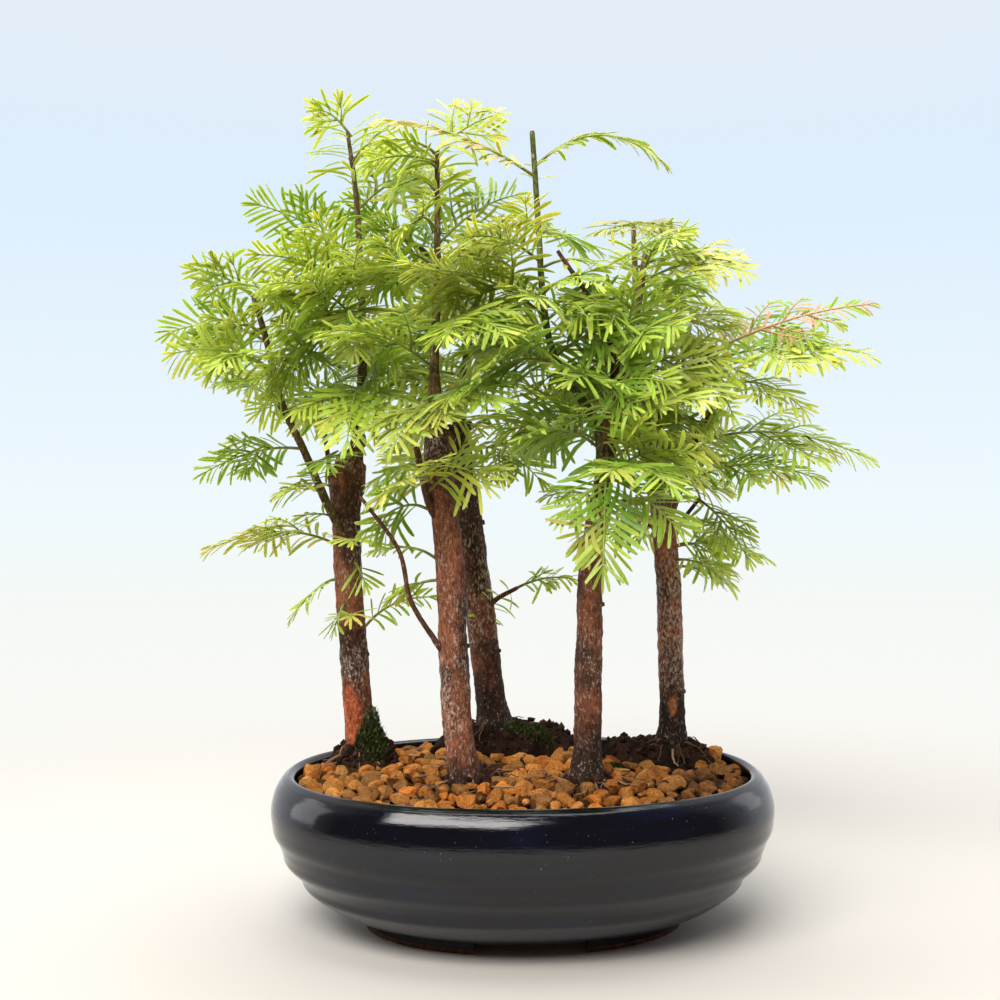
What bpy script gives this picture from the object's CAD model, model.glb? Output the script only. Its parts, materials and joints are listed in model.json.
"""Looks of the dawn redwood forest planting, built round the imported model.

Sizes are in millimetres until a mesh is made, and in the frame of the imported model:
X runs along the pot, Y runs to its back and Z is up.
"""

import json
import math
import random

import bmesh
import bpy
import numpy as np
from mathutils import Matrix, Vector, noise


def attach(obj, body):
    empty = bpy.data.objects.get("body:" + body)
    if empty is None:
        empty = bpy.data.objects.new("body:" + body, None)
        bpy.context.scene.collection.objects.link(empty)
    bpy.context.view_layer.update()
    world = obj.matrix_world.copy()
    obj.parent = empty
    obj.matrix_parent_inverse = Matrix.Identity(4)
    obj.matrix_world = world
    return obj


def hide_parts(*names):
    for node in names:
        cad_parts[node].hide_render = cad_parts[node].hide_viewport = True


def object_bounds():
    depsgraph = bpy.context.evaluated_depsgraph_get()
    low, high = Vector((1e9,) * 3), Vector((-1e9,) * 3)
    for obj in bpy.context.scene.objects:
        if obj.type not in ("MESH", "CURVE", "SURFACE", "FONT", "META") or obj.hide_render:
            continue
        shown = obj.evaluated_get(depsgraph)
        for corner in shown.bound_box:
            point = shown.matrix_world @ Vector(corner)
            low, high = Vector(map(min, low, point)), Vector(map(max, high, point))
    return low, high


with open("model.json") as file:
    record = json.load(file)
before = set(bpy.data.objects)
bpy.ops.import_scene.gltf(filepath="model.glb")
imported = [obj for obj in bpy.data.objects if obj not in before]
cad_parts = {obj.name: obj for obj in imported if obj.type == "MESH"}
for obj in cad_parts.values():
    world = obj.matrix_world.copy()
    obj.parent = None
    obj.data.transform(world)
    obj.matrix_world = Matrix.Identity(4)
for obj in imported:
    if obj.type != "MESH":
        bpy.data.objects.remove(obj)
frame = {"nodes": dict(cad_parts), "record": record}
cad_low, cad_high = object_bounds()
cad_box = [[float(value) for value in cad_low], [float(value) for value in cad_high]]

MM = 0.001
WHITE = (1.0, 1.0, 1.0)
GAP = 0.3
# How far a cutter reaches past the surface that it cuts
CUTTER_SPARE = 2.0
TINY = 1e-9

# Pot: heights with the oval's half length and half depth at each, from the underside out and up
POT_SIDES = 144
OVAL_POWER = 2.15
FOOT_HEIGHT = 5.0
FLOOR_TOP = 10.0
RECESS_RING = (FOOT_HEIGHT, 49.0, 31.0)
FOOT_RINGS = ((0.0, 50.0, 32.0), (0.0, 57.0, 39.0), (FOOT_HEIGHT, 58.0, 40.0))
BODY_RINGS = (
    (FOOT_HEIGHT, 61.0, 43.5),
    (9.5, 70.5, 51.0),
    (15.0, 78.2, 56.8),
    (18.0, 79.6, 57.8),
    (23.8, 85.0, 61.9),
    (27.0, 86.0, 62.7),
    (34.0, 89.2, 65.2),
    (42.0, 90.0, 66.0),
    (48.5, 88.4, 64.6),
    (52.4, 85.8, 62.0),
)
LIP_RINGS = ((53.6, 83.6, 59.8), (52.4, 81.6, 57.8))
WALL_RINGS = ((40.0, 85.0, 61.0), (28.0, 81.5, 58.0), (FLOOR_TOP, 66.0, 45.0))
FOOT_GAP_WIDTH = 38.0
FOOT_GAP_HEIGHT = 4.8
FOOT_GAP_REACH = 70.0
DRAIN_RADIUS = 6.0
DRAIN_X = 28.0
DRAIN_SIDES = 32
LIP_TURN = (49.5, 82.1, 58.3)
GLAZE_RING = (1.7, 57.2, 39.2)
GLAZE_LINE = 1.6
GLAZE_STOPS = (
    (0.32, (0.0016, 0.0017, 0.0030)), (0.54, (0.0022, 0.0030, 0.0080)), (0.74, (0.0036, 0.0070, 0.024)),
)
# Heights between which the glaze turns duller, and by how much
GLAZE_DULL_TOP = 36.0
GLAZE_DULL_FOOT = 12.0
GLAZE_DULL = 0.14
GLAZE_SMEAR = (0.03, 0.11)
GLAZE_SPECKS = ((0.735, (0.0, 0.0, 0.0)), (0.755, (0.8, 0.8, 0.8)))
# Shades of the clay: warm patches, grain and pores
CLAY_WARMTH = ((0.35, (0.76, 0.70, 0.62)), (0.55, WHITE), (0.75, (1.25, 1.1, 0.8)))
CLAY_GRAIN = ((0.32, (0.40, 0.30, 0.20)), (0.50, WHITE), (0.75, (1.3, 1.25, 1.2)))
CLAY_PORES = ((0.13, (0.30, 0.24, 0.20)), (0.24, WHITE))
# Grooves in the thrown wall: height, width and depth
THROWING_GROOVES = ((12.5, 2.2, 0.2), (20.5, 2.4, 0.35), (30.5, 2.2, 0.5), (37.0, 1.6, 0.15))
POT_RING_STEP = 1.1
LIP_RING_STEP = 0.6

# Wood: spacing of its rings, sides of a trunk and of a thinner stem, and the bark's relief
WOOD_STEP = 1.0
TRUNK_SIDES = 44
STEM_SIDES = 16
BARK_RELIEF = 0.36
BARK_SCALE = 0.75
BARK_STRETCH = 2.6
BARK_SWELL_SCALE = 0.07
BARK_SWELL = 0.9
BARK_CREASE = 80.0
FLARE_HEIGHT = 12.0
FLARE_SHARE = 0.26
FLARE_ROOTS = 5
STEM_END = 0.9
COLLAR = 0.55
COLLAR_REACH = 3.0
BARK_OLD = (0.085, 0.036, 0.022)
BARK_RED = (0.300, 0.106, 0.050)
BARK_GREY = (0.600, 0.500, 0.410)
BARK_SCALE_REACH = 0.10
CRACK_SCALE = 1250.0
CRACK_STRETCH = (1.0, 1.0, 0.5)
CRACK_STOPS = ((0.40, (0.28, 0.22, 0.19)), (0.50, WHITE), (0.68, (1.3, 1.28, 1.25)))
BARK_EARTH = (0.022, 0.012, 0.008)
BARK_FRESH = (0.460, 0.095, 0.026)
CUT_DARK = (0.020, 0.012, 0.009)
TWIG_BROWN = (0.130, 0.052, 0.028)
TWIG_OLIVE = (0.140, 0.095, 0.030)
TWIG_GREEN = (0.120, 0.150, 0.030)
TWIG_PALE = (0.420, 0.300, 0.190)
# How grey each tree's bark is in patches, how bright, and how far up wet earth stains its foot:
# the height that is dark all over, and the height over which the stain fades
GREYNESS = {1: 0.36, 2: 0.34, 3: 0.20, 4: 0.10, 5: 0.86}
BARK_SHADE = {1: 1.08, 2: 1.00, 3: 0.84, 4: 0.82, 5: 1.45}
EARTH_REACH = {1: (2.0, 5.0), 2: (3.0, 8.0), 3: (10.0, 14.0), 4: (9.0, 16.0), 5: (14.0, 8.0)}
# Colour of each thin stem where it isn't brown
STEM_COLOURS = {
    (1, "trunk"): TWIG_OLIVE, (1, "left"): TWIG_OLIVE, (2, "trunk"): TWIG_OLIVE,
    (3, "trunk"): TWIG_OLIVE, (4, "stem_a"): TWIG_GREEN, (4, "trunk"): TWIG_OLIVE,
    (5, "trunk"): TWIG_PALE,
}
# Bare patches: tree, height, heading in degrees, half height, half turn, share and colour
BARE_PATCHES = (
    (1, 69.0, -125.0, 14.0, 50.0, 0.85, BARK_FRESH), (5, 74.0, -96.0, 3.4, 19.0, 0.9, (0.60, 0.22, 0.085)),
)
# Cut stubs: tree, height on its trunk, heading in degrees, lift in degrees, radius, length
STUBS = (
    (1, 158, -150, 20, 1.6, 3.2), (1, 170, 60, 55, 2.2, 3.4), (1, 120, -60, 15, 0.9, 1.0),
    (1, 92, 0, 10, 0.7, 0.6), (1, 104, -160, 10, 0.7, 0.6), (2, 172, -40, 30, 1.5, 3.0),
    (2, 181, 150, 60, 2.0, 3.0), (2, 100, 0, 5, 0.8, 0.7), (2, 74, -170, 5, 0.7, 0.6),
    (3, 176, -40, 40, 1.9, 3.6), (3, 141, 0, 10, 1.0, 1.0), (3, 92, -10, 5, 0.7, 0.6),
    (4, 190, -60, 30, 1.2, 2.8), (4, 114, 0, 10, 0.7, 0.7), (5, 152, -60, 45, 1.9, 3.6),
    (5, 140, -170, 15, 1.2, 1.8), (5, 78, 0, 5, 0.8, 0.6),
)
# Stubs thinner than this are old leaf scars, as brown as the bark
SCAR_RADIUS = 1.1
# Rings of a stub: shares of its length, and shares of its radius there
STUB_REACH = (0.0, 0.45, 0.8, 0.97, 1.0, 0.985)
STUB_SWELL = (1.5, 1.25, 1.0, 0.9, 0.72, 0.3)

# Leaves: fine needles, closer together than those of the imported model
FINE_PITCH = 2.7
LEAF_SEED = 41
LEAF_LONGER = 1.22
LEAF_HALF_WIDTH = 0.76
LEAF_OPEN = 9.0
SHOOT_ROOT = 2.2
LEAF_KEEL = 0.30
LEAF_STATIONS = (0.0, 0.16, 0.46, 0.78, 0.95)
LEAF_WIDTHS = (0.34, 0.70, 0.94, 1.0, 0.66)
LEAF_ARCH = (-0.34, 0.04)
LEAF_SWEEP = (-0.42, -0.04)
LEAF_HANG = (0.0, 0.20)
LEAF_TWIST = 26.0
LEAF_ANGLE_UNEVEN = 6.0
LEAF_RISE = (-6.0, 18.0)
LEAF_GLOW = 0.6
LEAF_CLEAR = 0.25
# Least and most length, brightness and red of single needles, and their brightness at the foot and
# how much more it is at the tip
LEAF_LENGTHS = (0.84, 1.10)
LEAF_SHADES = (0.80, 1.18)
LEAF_REDS = (0.86, 1.12)
LEAF_FADE = (0.86, 0.24)
LEAF_CREASE = 62.0
EXTRA_SHOOTS = ((0.33, -1, 0.66), (0.47, 1, 0.64), (0.62, -1, 0.66), (0.71, 1, 0.64))
SHOOT_SIDES = 6
SHOOT_RADII = (0.56, 0.26)
# Share of a shoot's needle-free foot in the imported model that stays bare
BARE_SHARE = 0.45
TIP_LEAVES = ((0.0, 0.95), (16.0, 0.85), (-16.0, 0.85))
GREENS = {
    "spray_bright": ((0.48, 0.62, 0.055), (0.69, 0.80, 0.115)),
    "spray_mid": ((0.33, 0.51, 0.040), (0.55, 0.70, 0.080)),
    "spray_deep": ((0.18, 0.37, 0.028), (0.40, 0.57, 0.055)),
}
BRONZE = (0.68, 0.45, 0.13)
BRONZE_SHOOTS = 0.10
WITHERED = (0.66, 0.34, 0.17)
SHOOT_GREEN = (0.34, 0.46, 0.07)
SHOOT_BROWN = (0.24, 0.20, 0.05)
# Sprays, by tree and number, whose needles take the greens of another slot than their own
GREENER_SPRAYS = {
    (4, 6): "spray_deep", (4, 7): "spray_deep", (4, 9): "spray_mid",
    (2, 7): "spray_mid",
}
# Share of withered needles on the sprays that carry any, and how bronze some sprays are all over
WITHERED_SPRAYS = {(5, 4): 0.30, (4, 1): 0.10}
BRONZE_SPRAYS = {
    (4, 1): 0.8, (4, 2): 0.3, (5, 1): 0.6, (4, 3): 0.4,
    (4, 5): 0.35, (2, 6): 0.3, (5, 2): 0.25,
}
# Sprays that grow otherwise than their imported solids: length, side shoots' length, roll in
# degrees, how far the tip hangs lower, and the needles' length
SPRAY_SHAPES = {
    (1, 1): (0.58, 0.9, 0.0, 0.0, 1.0),
    (1, 3): (1.0, 0.4, 0.0, 2.0, 1.0),
    (1, 5): (0.8, 0.7, 0.0, 6.0, 0.95),
    (1, 7): (1.0, 0.6, 0.0, 0.0, 0.85),
    (3, 1): (1.0, 0.5, 0.0, 4.0, 0.7),
    (1, 9): (1.0, 0.7, 0.0, 8.0, 0.85),
    (2, 1): (0.92, 1.0, 0.0, 4.0, 0.95),
    (3, 2): (0.9, 0.8, 0.0, 0.0, 0.9),
    (4, 6): (1.08, 1.1, 0.0, 4.0, 1.1),
    (4, 10): (0.6, 0.6, 0.0, 0.0, 0.75),
    (5, 10): (1.0, 0.6, 0.0, -2.0, 0.8),
    (5, 11): (0.9, 0.7, 0.0, -3.0, 0.8),
    (5, 12): (0.75, 0.7, 0.0, 8.0, 0.85),
    (1, 10): (1.0, 0.7, 0.0, 4.0, 0.85),
    (2, 5): (0.62, 0.8, 0.0, 3.0, 0.75),
    (4, 1): (1.0, 1.0, 50.0, 0.0, 1.0),
    (4, 2): (1.0, 1.0, 18.0, 8.0, 0.9),
    (5, 1): (0.55, 1.7, 0.0, 8.0, 1.0),
    (5, 4): (1.05, 0.6, 0.0, 0.0, 0.65),
    (5, 5): (1.06, 0.7, 0.0, -3.0, 0.9),
    (5, 8): (0.85, 0.6, 0.0, 3.0, 0.8),
    (5, 9): (1.0, 0.85, 0.0, 0.0, 0.85),
}
DROP_BEND = 0.7
# Needles on the leaders themselves: tree, stem, lowest and highest place, spacing and length
LEADERS = (
    (1, "trunk", 267, 287, 1.5, 14.0), (5, "trunk", 236, 250, 3.0, 10.0), (4, "stem_a", 262, 272, 5.0, 6.0),
    (1, "left", 204, 222, 3.0, 10.0), (3, "trunk", 244, 253, 3.0, 9.0), (2, "trunk", 254, 274, 1.8, 13.0),
    (4, "trunk", 222, 236, 3.0, 10.0), (3, "twig", 105, 117, 2.2, 8.0),
)
LEADER_ANGLE = (48.0, 70.0)
LEADER_TURN = 34.0
# Sprays of the crown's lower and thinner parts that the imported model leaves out: tree, stem, height,
# heading, reach, lift, arch, roll, side shoots, needles' length and colour
MORE_SPRAYS = (
    (1, "trunk", 131, -82, 32, 12, 2, 0, 0, 1.0, "spray_bright"),
    (1, "trunk", 100, -88, 30, 24, 3, 0, 0, 0.9, "spray_bright"),
    (1, "trunk", 121, -160, 32, -30, 3, 15, 1, 0.75, "spray_mid"),
    (1, "trunk", 98, -18, 42, 30, 4, 50, 0, 0.7, "spray_deep"),
    (1, "trunk", 139, -150, 26, 20, 2, 20, 0, 0.7, "spray_mid"),
    (1, "trunk", 126, -60, 22, -20, 2, 30, 0, 0.8, "spray_deep"),
    (1, "trunk", 111, -112, 22, -25, 2, 30, 0, 0.8, "spray_deep"),
    (2, "trunk", 127, 172, 34, 14, 3, 20, 0, 0.7, "spray_mid"),
    (3, "trunk", 174, -25, 36, 18, 3, 20, 1, 0.9, "spray_deep"),
    (4, "stem_a", 222, -60, 36, 0, 3, 20, 1, 0.9, "spray_mid"),
    (5, "trunk", 236, -20, 36, 8, 2, 15, 1, 0.9, "spray_mid"),
    (5, "trunk", 132, -14, 44, -4, 3, 12, 1, 0.75, "spray_mid"),
    (5, "trunk", 127, -50, 36, -12, 3, 0, 1, 0.9, "spray_bright"),
    (5, "trunk", 125, 12, 32, -14, 2, 15, 1, 0.75, "spray_deep"),
    (1, "trunk", 152, -140, 36, 4, 3, 30, 1, 0.9, "spray_mid"),
    (1, "left", 162, -70, 30, 2, 2, 20, 1, 0.9, "spray_deep"),
    (1, "left", 152, -120, 30, 6, 2, 10, 0, 0.9, "spray_mid"),
    (2, "trunk", 270, 178, 30, 2, 2, 35, 0, 0.95, "spray_mid"),
    (1, "trunk", 277, 12, 36, 2, 2, 40, 0, 0.95, "spray_bright"),
    (4, "stem_a", 231, -30, 28, 0, 2, 20, 0, 0.9, "spray_mid"),
    (2, "trunk", 273, -160, 26, 10, 2, 30, 0, 0.95, "spray_bright"),
    (2, "trunk", 268, -130, 24, -8, 2, 30, 0, 0.95, "spray_mid"),
)

# Filling sprays: tree, stem, lowest and highest place, spacing, reach there, first heading
FILL_STEMS = (
    (1, "trunk", 180, 278, 6.2, 52, 24, 20), (1, "left", 176, 216, 6.5, 40, 30, 200),
    (2, "trunk", 184, 262, 6.0, 50, 26, -60),
    (2, "stub", 146, 164, 7.0, 36, 30, -150), (3, "trunk", 182, 252, 5.5, 50, 30, 100),
    (4, "trunk", 158, 232, 5.5, 50, 30, -90), (4, "stem_a", 168, 232, 5.5, 48, 34, -130),
    (5, "trunk", 152, 246, 5.6, 52, 28, -40), (5, "branch_up", 170, 190, 6.5, 42, 36, 0),
    (5, "branch_mid", 168, 186, 6.5, 44, 36, -30), (5, "lower_twig", 132, 148, 6.0, 34, 28, 20),
)
FILL_SEED = 29
FILL_CLEAR = 1.7
FILL_HEADING = 137.5
FILL_LIFTS = (-12.0, 20.0)
FILL_ROLLS = (0, 20, -20, 40, -40, 60)
FILL_ARCH = 4
# Least share of the clear room at which a filling spray is still kept
FILL_TIGHT = 0.6
FILL_EDGE = 9.0
# The crown's outline from the front, for the filling sprays: x, then its lowest and highest z
CROWN_EDGE = (
    (-135, 194, 212), (-122, 188, 234), (-102, 178, 254), (-92, 174, 260), (-81, 150, 250), (-70, 122, 246),
    (-60, 118, 286), (-50, 114, 284), (-26, 114, 286), (-12, 114, 292), (0, 120, 278), (5, 120, 248),
    (28, 112, 250), (65, 114, 248), (72, 118, 242), (80, 122, 236), (93, 150, 220), (100, 160, 214),
    (118, 168, 216), (130, 172, 216),
)
# Parts of the outline where the sky shows through: lowest and highest x, lowest and highest z
SKY_WINDOWS = (
    (-84, -46, 243, 276), (62, 92, 139, 157), (6, 18, 143, 172), (13, 38, 228, 247), (66, 80, 211, 224),
    (-124, -98, 165, 190), (88, 108, 172, 214), (-22, -2, 252, 268), (80, 100, 197, 218),
    (19, 36, 136, 178),
)

# Ground
SOIL_RINGS = 74
SOIL_SECTORS = 150
SOIL_ROUGH = 2.0
SOIL_SEED = 17
SOIL_TINT = (0.012, 0.0055, 0.0035)
SOIL_TINT_DRY = (0.050, 0.024, 0.014)
SOIL_BOTTOM = ((14.0, 60.0, 40.0), (28.0, 80.0, 56.6), (40.0, 83.6, 59.6), (45.0, 82.6, 58.8))
CRUMB_COUNT = 1900
CRUMB_RADII = (0.4, 2.1)
CRUMB_SPREAD = 1.08
CRUMB_SHAPES = (0.7, 1.2)
CRUMB_SHADES = (0.4, 1.6)
PEBBLE_SEED = 23
# Layers of pebbles: tries, widths, share of the pot's mouth, mound height kept off, lift, brightness
PEBBLE_LAYERS = (
    (5000, (4.0, 5.0), 0.985, 4.5, 0.0, 0.20),
    (22000, (2.7, 6.5), 0.965, 3.5, 1.4, 1.0),
)
PEBBLE_RADII = (0.50, 0.60)
PEBBLE_LENGTH = (0.95, 1.25)
PEBBLE_WIDTH = (0.80, 1.0)
PEBBLE_SQUASH = (0.66, 0.95)
PEBBLE_SMALL = 4.6
# Flats of a pebble, how far out they lie and how much each takes off, then its dents and its lean
PEBBLE_FLATS = 9
PEBBLE_SWELL = 1.12
PEBBLE_FLAT_REACH = (0.54, 0.90)
PEBBLE_FLAT_CUT = 0.95
PEBBLE_DENTS = 2.3
PEBBLE_DENT = 0.10
PEBBLE_LEAN = 0.45
PEBBLE_CREASE = 34.0
PEBBLE_UNEVEN = (-0.5, 1.0)
PEBBLE_SHADES = (0.72, 1.15)
# How much darker the pebbles get to the right, from which x and over what length
RIGHT_SHADE = 0.50
RIGHT_SHADE_START = 15.0
RIGHT_SHADE_RUN = 45.0
PEBBLE_TINTS = (
    (0.54, 0.205, 0.038), (0.48, 0.180, 0.036), (0.58, 0.245, 0.055), (0.43, 0.168, 0.036),
    (0.37, 0.172, 0.046), (0.63, 0.290, 0.078), (0.30, 0.142, 0.044), (0.58, 0.192, 0.030),
    (0.53, 0.212, 0.044), (0.49, 0.212, 0.052),
)
# Bigger pebbles that lean on the rim: x, y, z and radius
RIM_PEBBLES = ((74.5, 20.0, 53.0, 4.2),)
# Dark soil that shows between the pebbles: middle x and y, half length and half depth
DARK_SPOTS = (
    (-16.0, -15.0, 12.0, 9.0), (-47.0, 6.0, 14.0, 9.0), (58.0, -2.0, 13.0, 9.0), (22.0, -17.0, 9.0, 6.0),
    (65.0, -17.0, 9.0, 6.0), (8.0, 6.0, 12.0, 6.0),
)
# Patches of moss: middle x and y, half length, half depth, height and how many leaves
MOSS_PATCHES = (
    (-55.5, 11.0, 4.6, 4.2, 14.0, 900), (-52.6, 9.5, 4.2, 4.0, 8.0, 560), (-58.0, 9.2, 3.4, 3.0, 7.5, 420),
    (-54.5, 7.0, 3.6, 2.6, 4.0, 260), (5.0, 18.0, 7.0, 4.5, 2.6, 620), (32.0, -8.0, 4.0, 3.0, 1.6, 240),
    (-1.0, 22.0, 5.0, 3.0, 2.4, 260), (10.0, 16.0, 3.0, 2.5, 2.0, 160),
)
MOSS_SEED = 5
MOSS_COVER = 2.2
MOSS_TILTS = (0.25, 1.25)
MOSS_WIDTHS = (0.12, 0.24)
MOSS_LENGTHS = (0.8, 1.8)
MOSS_TINTS = ((0.008, 0.010, 0.004), (0.020, 0.032, 0.009), (0.190, 0.240, 0.045))
# Lines on the ground: how far they turn and run at a step, and how high they lie on the pebbles
LINE_TURN = 0.45
LINE_STEP = 2.2
LINE_COVER = 3.0
ROOT_SEED = 9
ROOT_SIDES = 7
ROOT_STEP = 0.9
ROOT_STARTS = (-1.0, 5.0)
ROOT_LENGTHS = (6.0, 17.0)
ROOT_LIFTS = (0.0, 1.2)
ROOT_COUNT = 120
ROOT_RADII = (0.16, 0.50)
ROOT_TINTS = ((0.10, 0.045, 0.025), (0.36, 0.23, 0.13))
STRAW_SEED = 15
STRAW_COUNT = 18
STRAW_SPREAD = 0.92
STRAW_SIDES = 5
STRAW_STEP = 1.4
STRAW_LIFT = 0.7
STRAW_LENGTHS = (5.0, 11.0)
STRAW_RADII = (0.22, 0.6)
STRAW_SHADES = (0.5, 1.3)
STRAW_TINT = (0.34, 0.21, 0.10)

# Picture: the lens and place fitted to the photo, in millimetres
LENS = 43.9
CAMERA_DISTANCE = 442.0
CAMERA_SHIFT = 8.3
CAMERA_HEIGHT = 150.6
CAMERA_YAW = 3.0
FLOOR_RADIUS = 3.0
FLOOR_SIDES = 96
FLOOR_FADE = (0.17, 0.50)
FLOOR_COLOUR = (0.60, 0.575, 0.535)
# Backdrop colours by the height of the line of sight, from below the horizon to the top
BACKDROP_STOPS = (
    (0.344, (0.980, 0.922, 0.855)), (0.381, (0.973, 0.939, 0.888)), (0.42, (0.955, 0.955, 0.915)),
    (0.46, (0.915, 0.947, 0.922)),
    (0.50, (0.863, 0.947, 0.991)), (0.62, (0.723, 0.855, 0.982)), (0.69, (0.783, 0.847, 0.930)),
)
ROOM_STOPS = ((0.38, (0.120, 0.096, 0.084)), (0.68, (0.95, 0.98, 1.03)))
# Lights: name, place, aim, size, power and colour
LAMPS = (
    ("key", (-0.42, -0.80, 1.05), (0.0, 0.0, 0.15), (1.0, 0.6), 21.5, (1.0, 0.975, 0.94)),
    ("top", (0.05, 0.15, 1.35), (0.0, 0.0, 0.15), (1.1, 1.1), 12.0, (1.0, 0.98, 0.96)),
    ("left", (-1.1, 0.2, 0.40), (0.0, 0.0, 0.08), (0.5, 0.7), 1.8, (0.97, 0.98, 1.0)),
    ("right", (1.1, 0.4, 0.40), (0.0, 0.0, 0.08), (0.4, 0.6), 0.7, (0.97, 0.98, 1.0)),
)

# Ground: the level of the soil and of the gravel, and the mounds
SOIL_TOP = 46.0
GROUND_HALF = (80.9, 57.1)
GRAVEL_EDGE = 48.6
GRAVEL_CROWN = 5.0
# Each mound: centre x and y, half length, half depth, height above the soil's flat level
MOUNDS = (
    (-58.0, 16.0, 13.0, 13.0, 13.0),
    (-52.0, 12.0, 7.0, 7.0, 8.0),
    (-4.0, 29.0, 30.0, 20.0, 17.0),
    (-20.0, -21.0, 12.0, 10.0, 8.5),
    (20.0, -24.0, 11.0, 10.0, 8.5),
    (50.0, 16.0, 24.0, 16.0, 13.0),
)

# Wood: each stem is a list of points x, y, z with its radius there
TREES = {
    1: {
        "trunk": (
            (-59, 17, 32, 5.8), (-59, 17, 56, 5.8), (-60, 17, 68, 5.3), (-62, 17, 91, 5.2),
            (-64, 17, 121, 5.1), (-65, 17, 146, 5.4), (-64.5, 17, 156, 6.3), (-63, 16, 165, 5.6),
            (-61, 16, 171, 2.5), (-59, 15, 195, 1.8), (-59, 15, 225, 1.35), (-61, 14, 262, 1.0),
            (-64, 12, 286, 0.7),
        ),
        "left": (
            (-64, 16, 136, 1.9), (-70, 11, 146, 1.6), (-79, 4, 168, 1.4), (-87, 1, 186, 1.25),
            (-92, -2, 208, 1.1), (-96, -4, 222, 0.9),
        ),
        "thin": ((-65, 18, 128, 1.5), (-70, 24, 148, 1.1), (-74, 28, 178, 0.8)),
    },
    2: {
        "trunk": (
            (-21, -21, 32, 5.9), (-21, -21, 53, 5.9), (-23, -21, 64, 5.1), (-25, -21, 89, 5.0),
            (-27, -21, 130, 4.8), (-31, -19, 168, 4.4), (-31.5, -17, 180, 3.0),
            (-32, -15, 199, 1.7), (-31, -13, 226, 1.35), (-31, -10, 256, 1.0), (-31, -8, 274, 0.8),
        ),
        "bare": (
            (-27, -21, 96, 1.2), (-32, -24, 103, 1.0), (-40, -30, 117, 0.85),
            (-44, -32, 134, 0.75), (-56, -35, 151, 0.6),
        ),
        "stub": ((-28, -21, 140, 1.6), (-34, -23, 150, 1.3), (-38, -25, 168, 1.0)),
    },
    3: {
        "trunk": (
            (-9, 30, 36, 6.3), (-9, 30, 62, 6.3), (-10.5, 30, 75, 5.7), (-14, 30, 104, 5.6),
            (-18, 30, 135, 5.3), (-22, 31, 166, 4.9), (-23, 32, 178, 3.4), (-21, 34, 197, 1.8),
            (-19, 36, 215, 1.5), (-24, 37, 234, 1.3), (-33, 37, 245, 1.1), (-44, 36, 254, 0.8),
        ),
        "twig": ((-15, 30, 104, 1.3), (-9, 26, 112, 1.0), (-1, 22, 117, 0.8)),
    },
    4: {
        "trunk": (
            (20, -24, 32, 5.4), (20, -24, 53, 5.4), (20.5, -24, 66, 4.8), (21, -24, 99, 4.5),
            (22, -24, 130, 4.1), (26, -24, 157, 3.4), (29, -24, 178, 3.0), (32.5, -24, 197, 2.3),
            (37, -24, 213, 1.6), (41, -22, 236, 1.0),
        ),
        "stem_a": (
            (26, -24, 160, 2.2), (23.5, -24, 177, 1.8), (11, -21, 197, 1.3), (6, -20, 216, 1.2),
            (4, -18, 248, 1.05), (3, -18, 263, 1.0), (2, -18, 278, 0.9),
        ),
        "dead_twig": ((30, -24, 186, 1.6), (28, -27, 205, 1.1), (20, -29, 220, 0.9), (10, -31, 234, 0.7)),
    },
    5: {
        "trunk": (
            (57, 15, 34, 5.6), (57, 15, 56, 5.6), (57.5, 15, 68, 4.8), (57, 15, 90, 4.7),
            (56, 15, 120, 4.6), (54, 15, 142, 4.3), (51.5, 15, 152, 3.2), (47, 12, 177, 2.0),
            (45, 10, 195, 1.6), (43, 8, 217, 1.3), (41, 4, 251, 0.9),
        ),
        "branch_up": ((54, 15, 142, 2.6), (60, 12, 157, 2.0), (66, 7, 176, 1.5), (74, -2, 192, 1.0)),
        "branch_mid": ((48.5, 13, 166, 1.6), (53, 8, 182, 1.3), (59, 2, 195, 1.1), (66, -4, 203, 0.9)),
        "lower_twig": ((55, 15, 128, 1.2), (61, 18, 141, 0.9), (68, 20, 150, 0.7)),
    },
}

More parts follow.
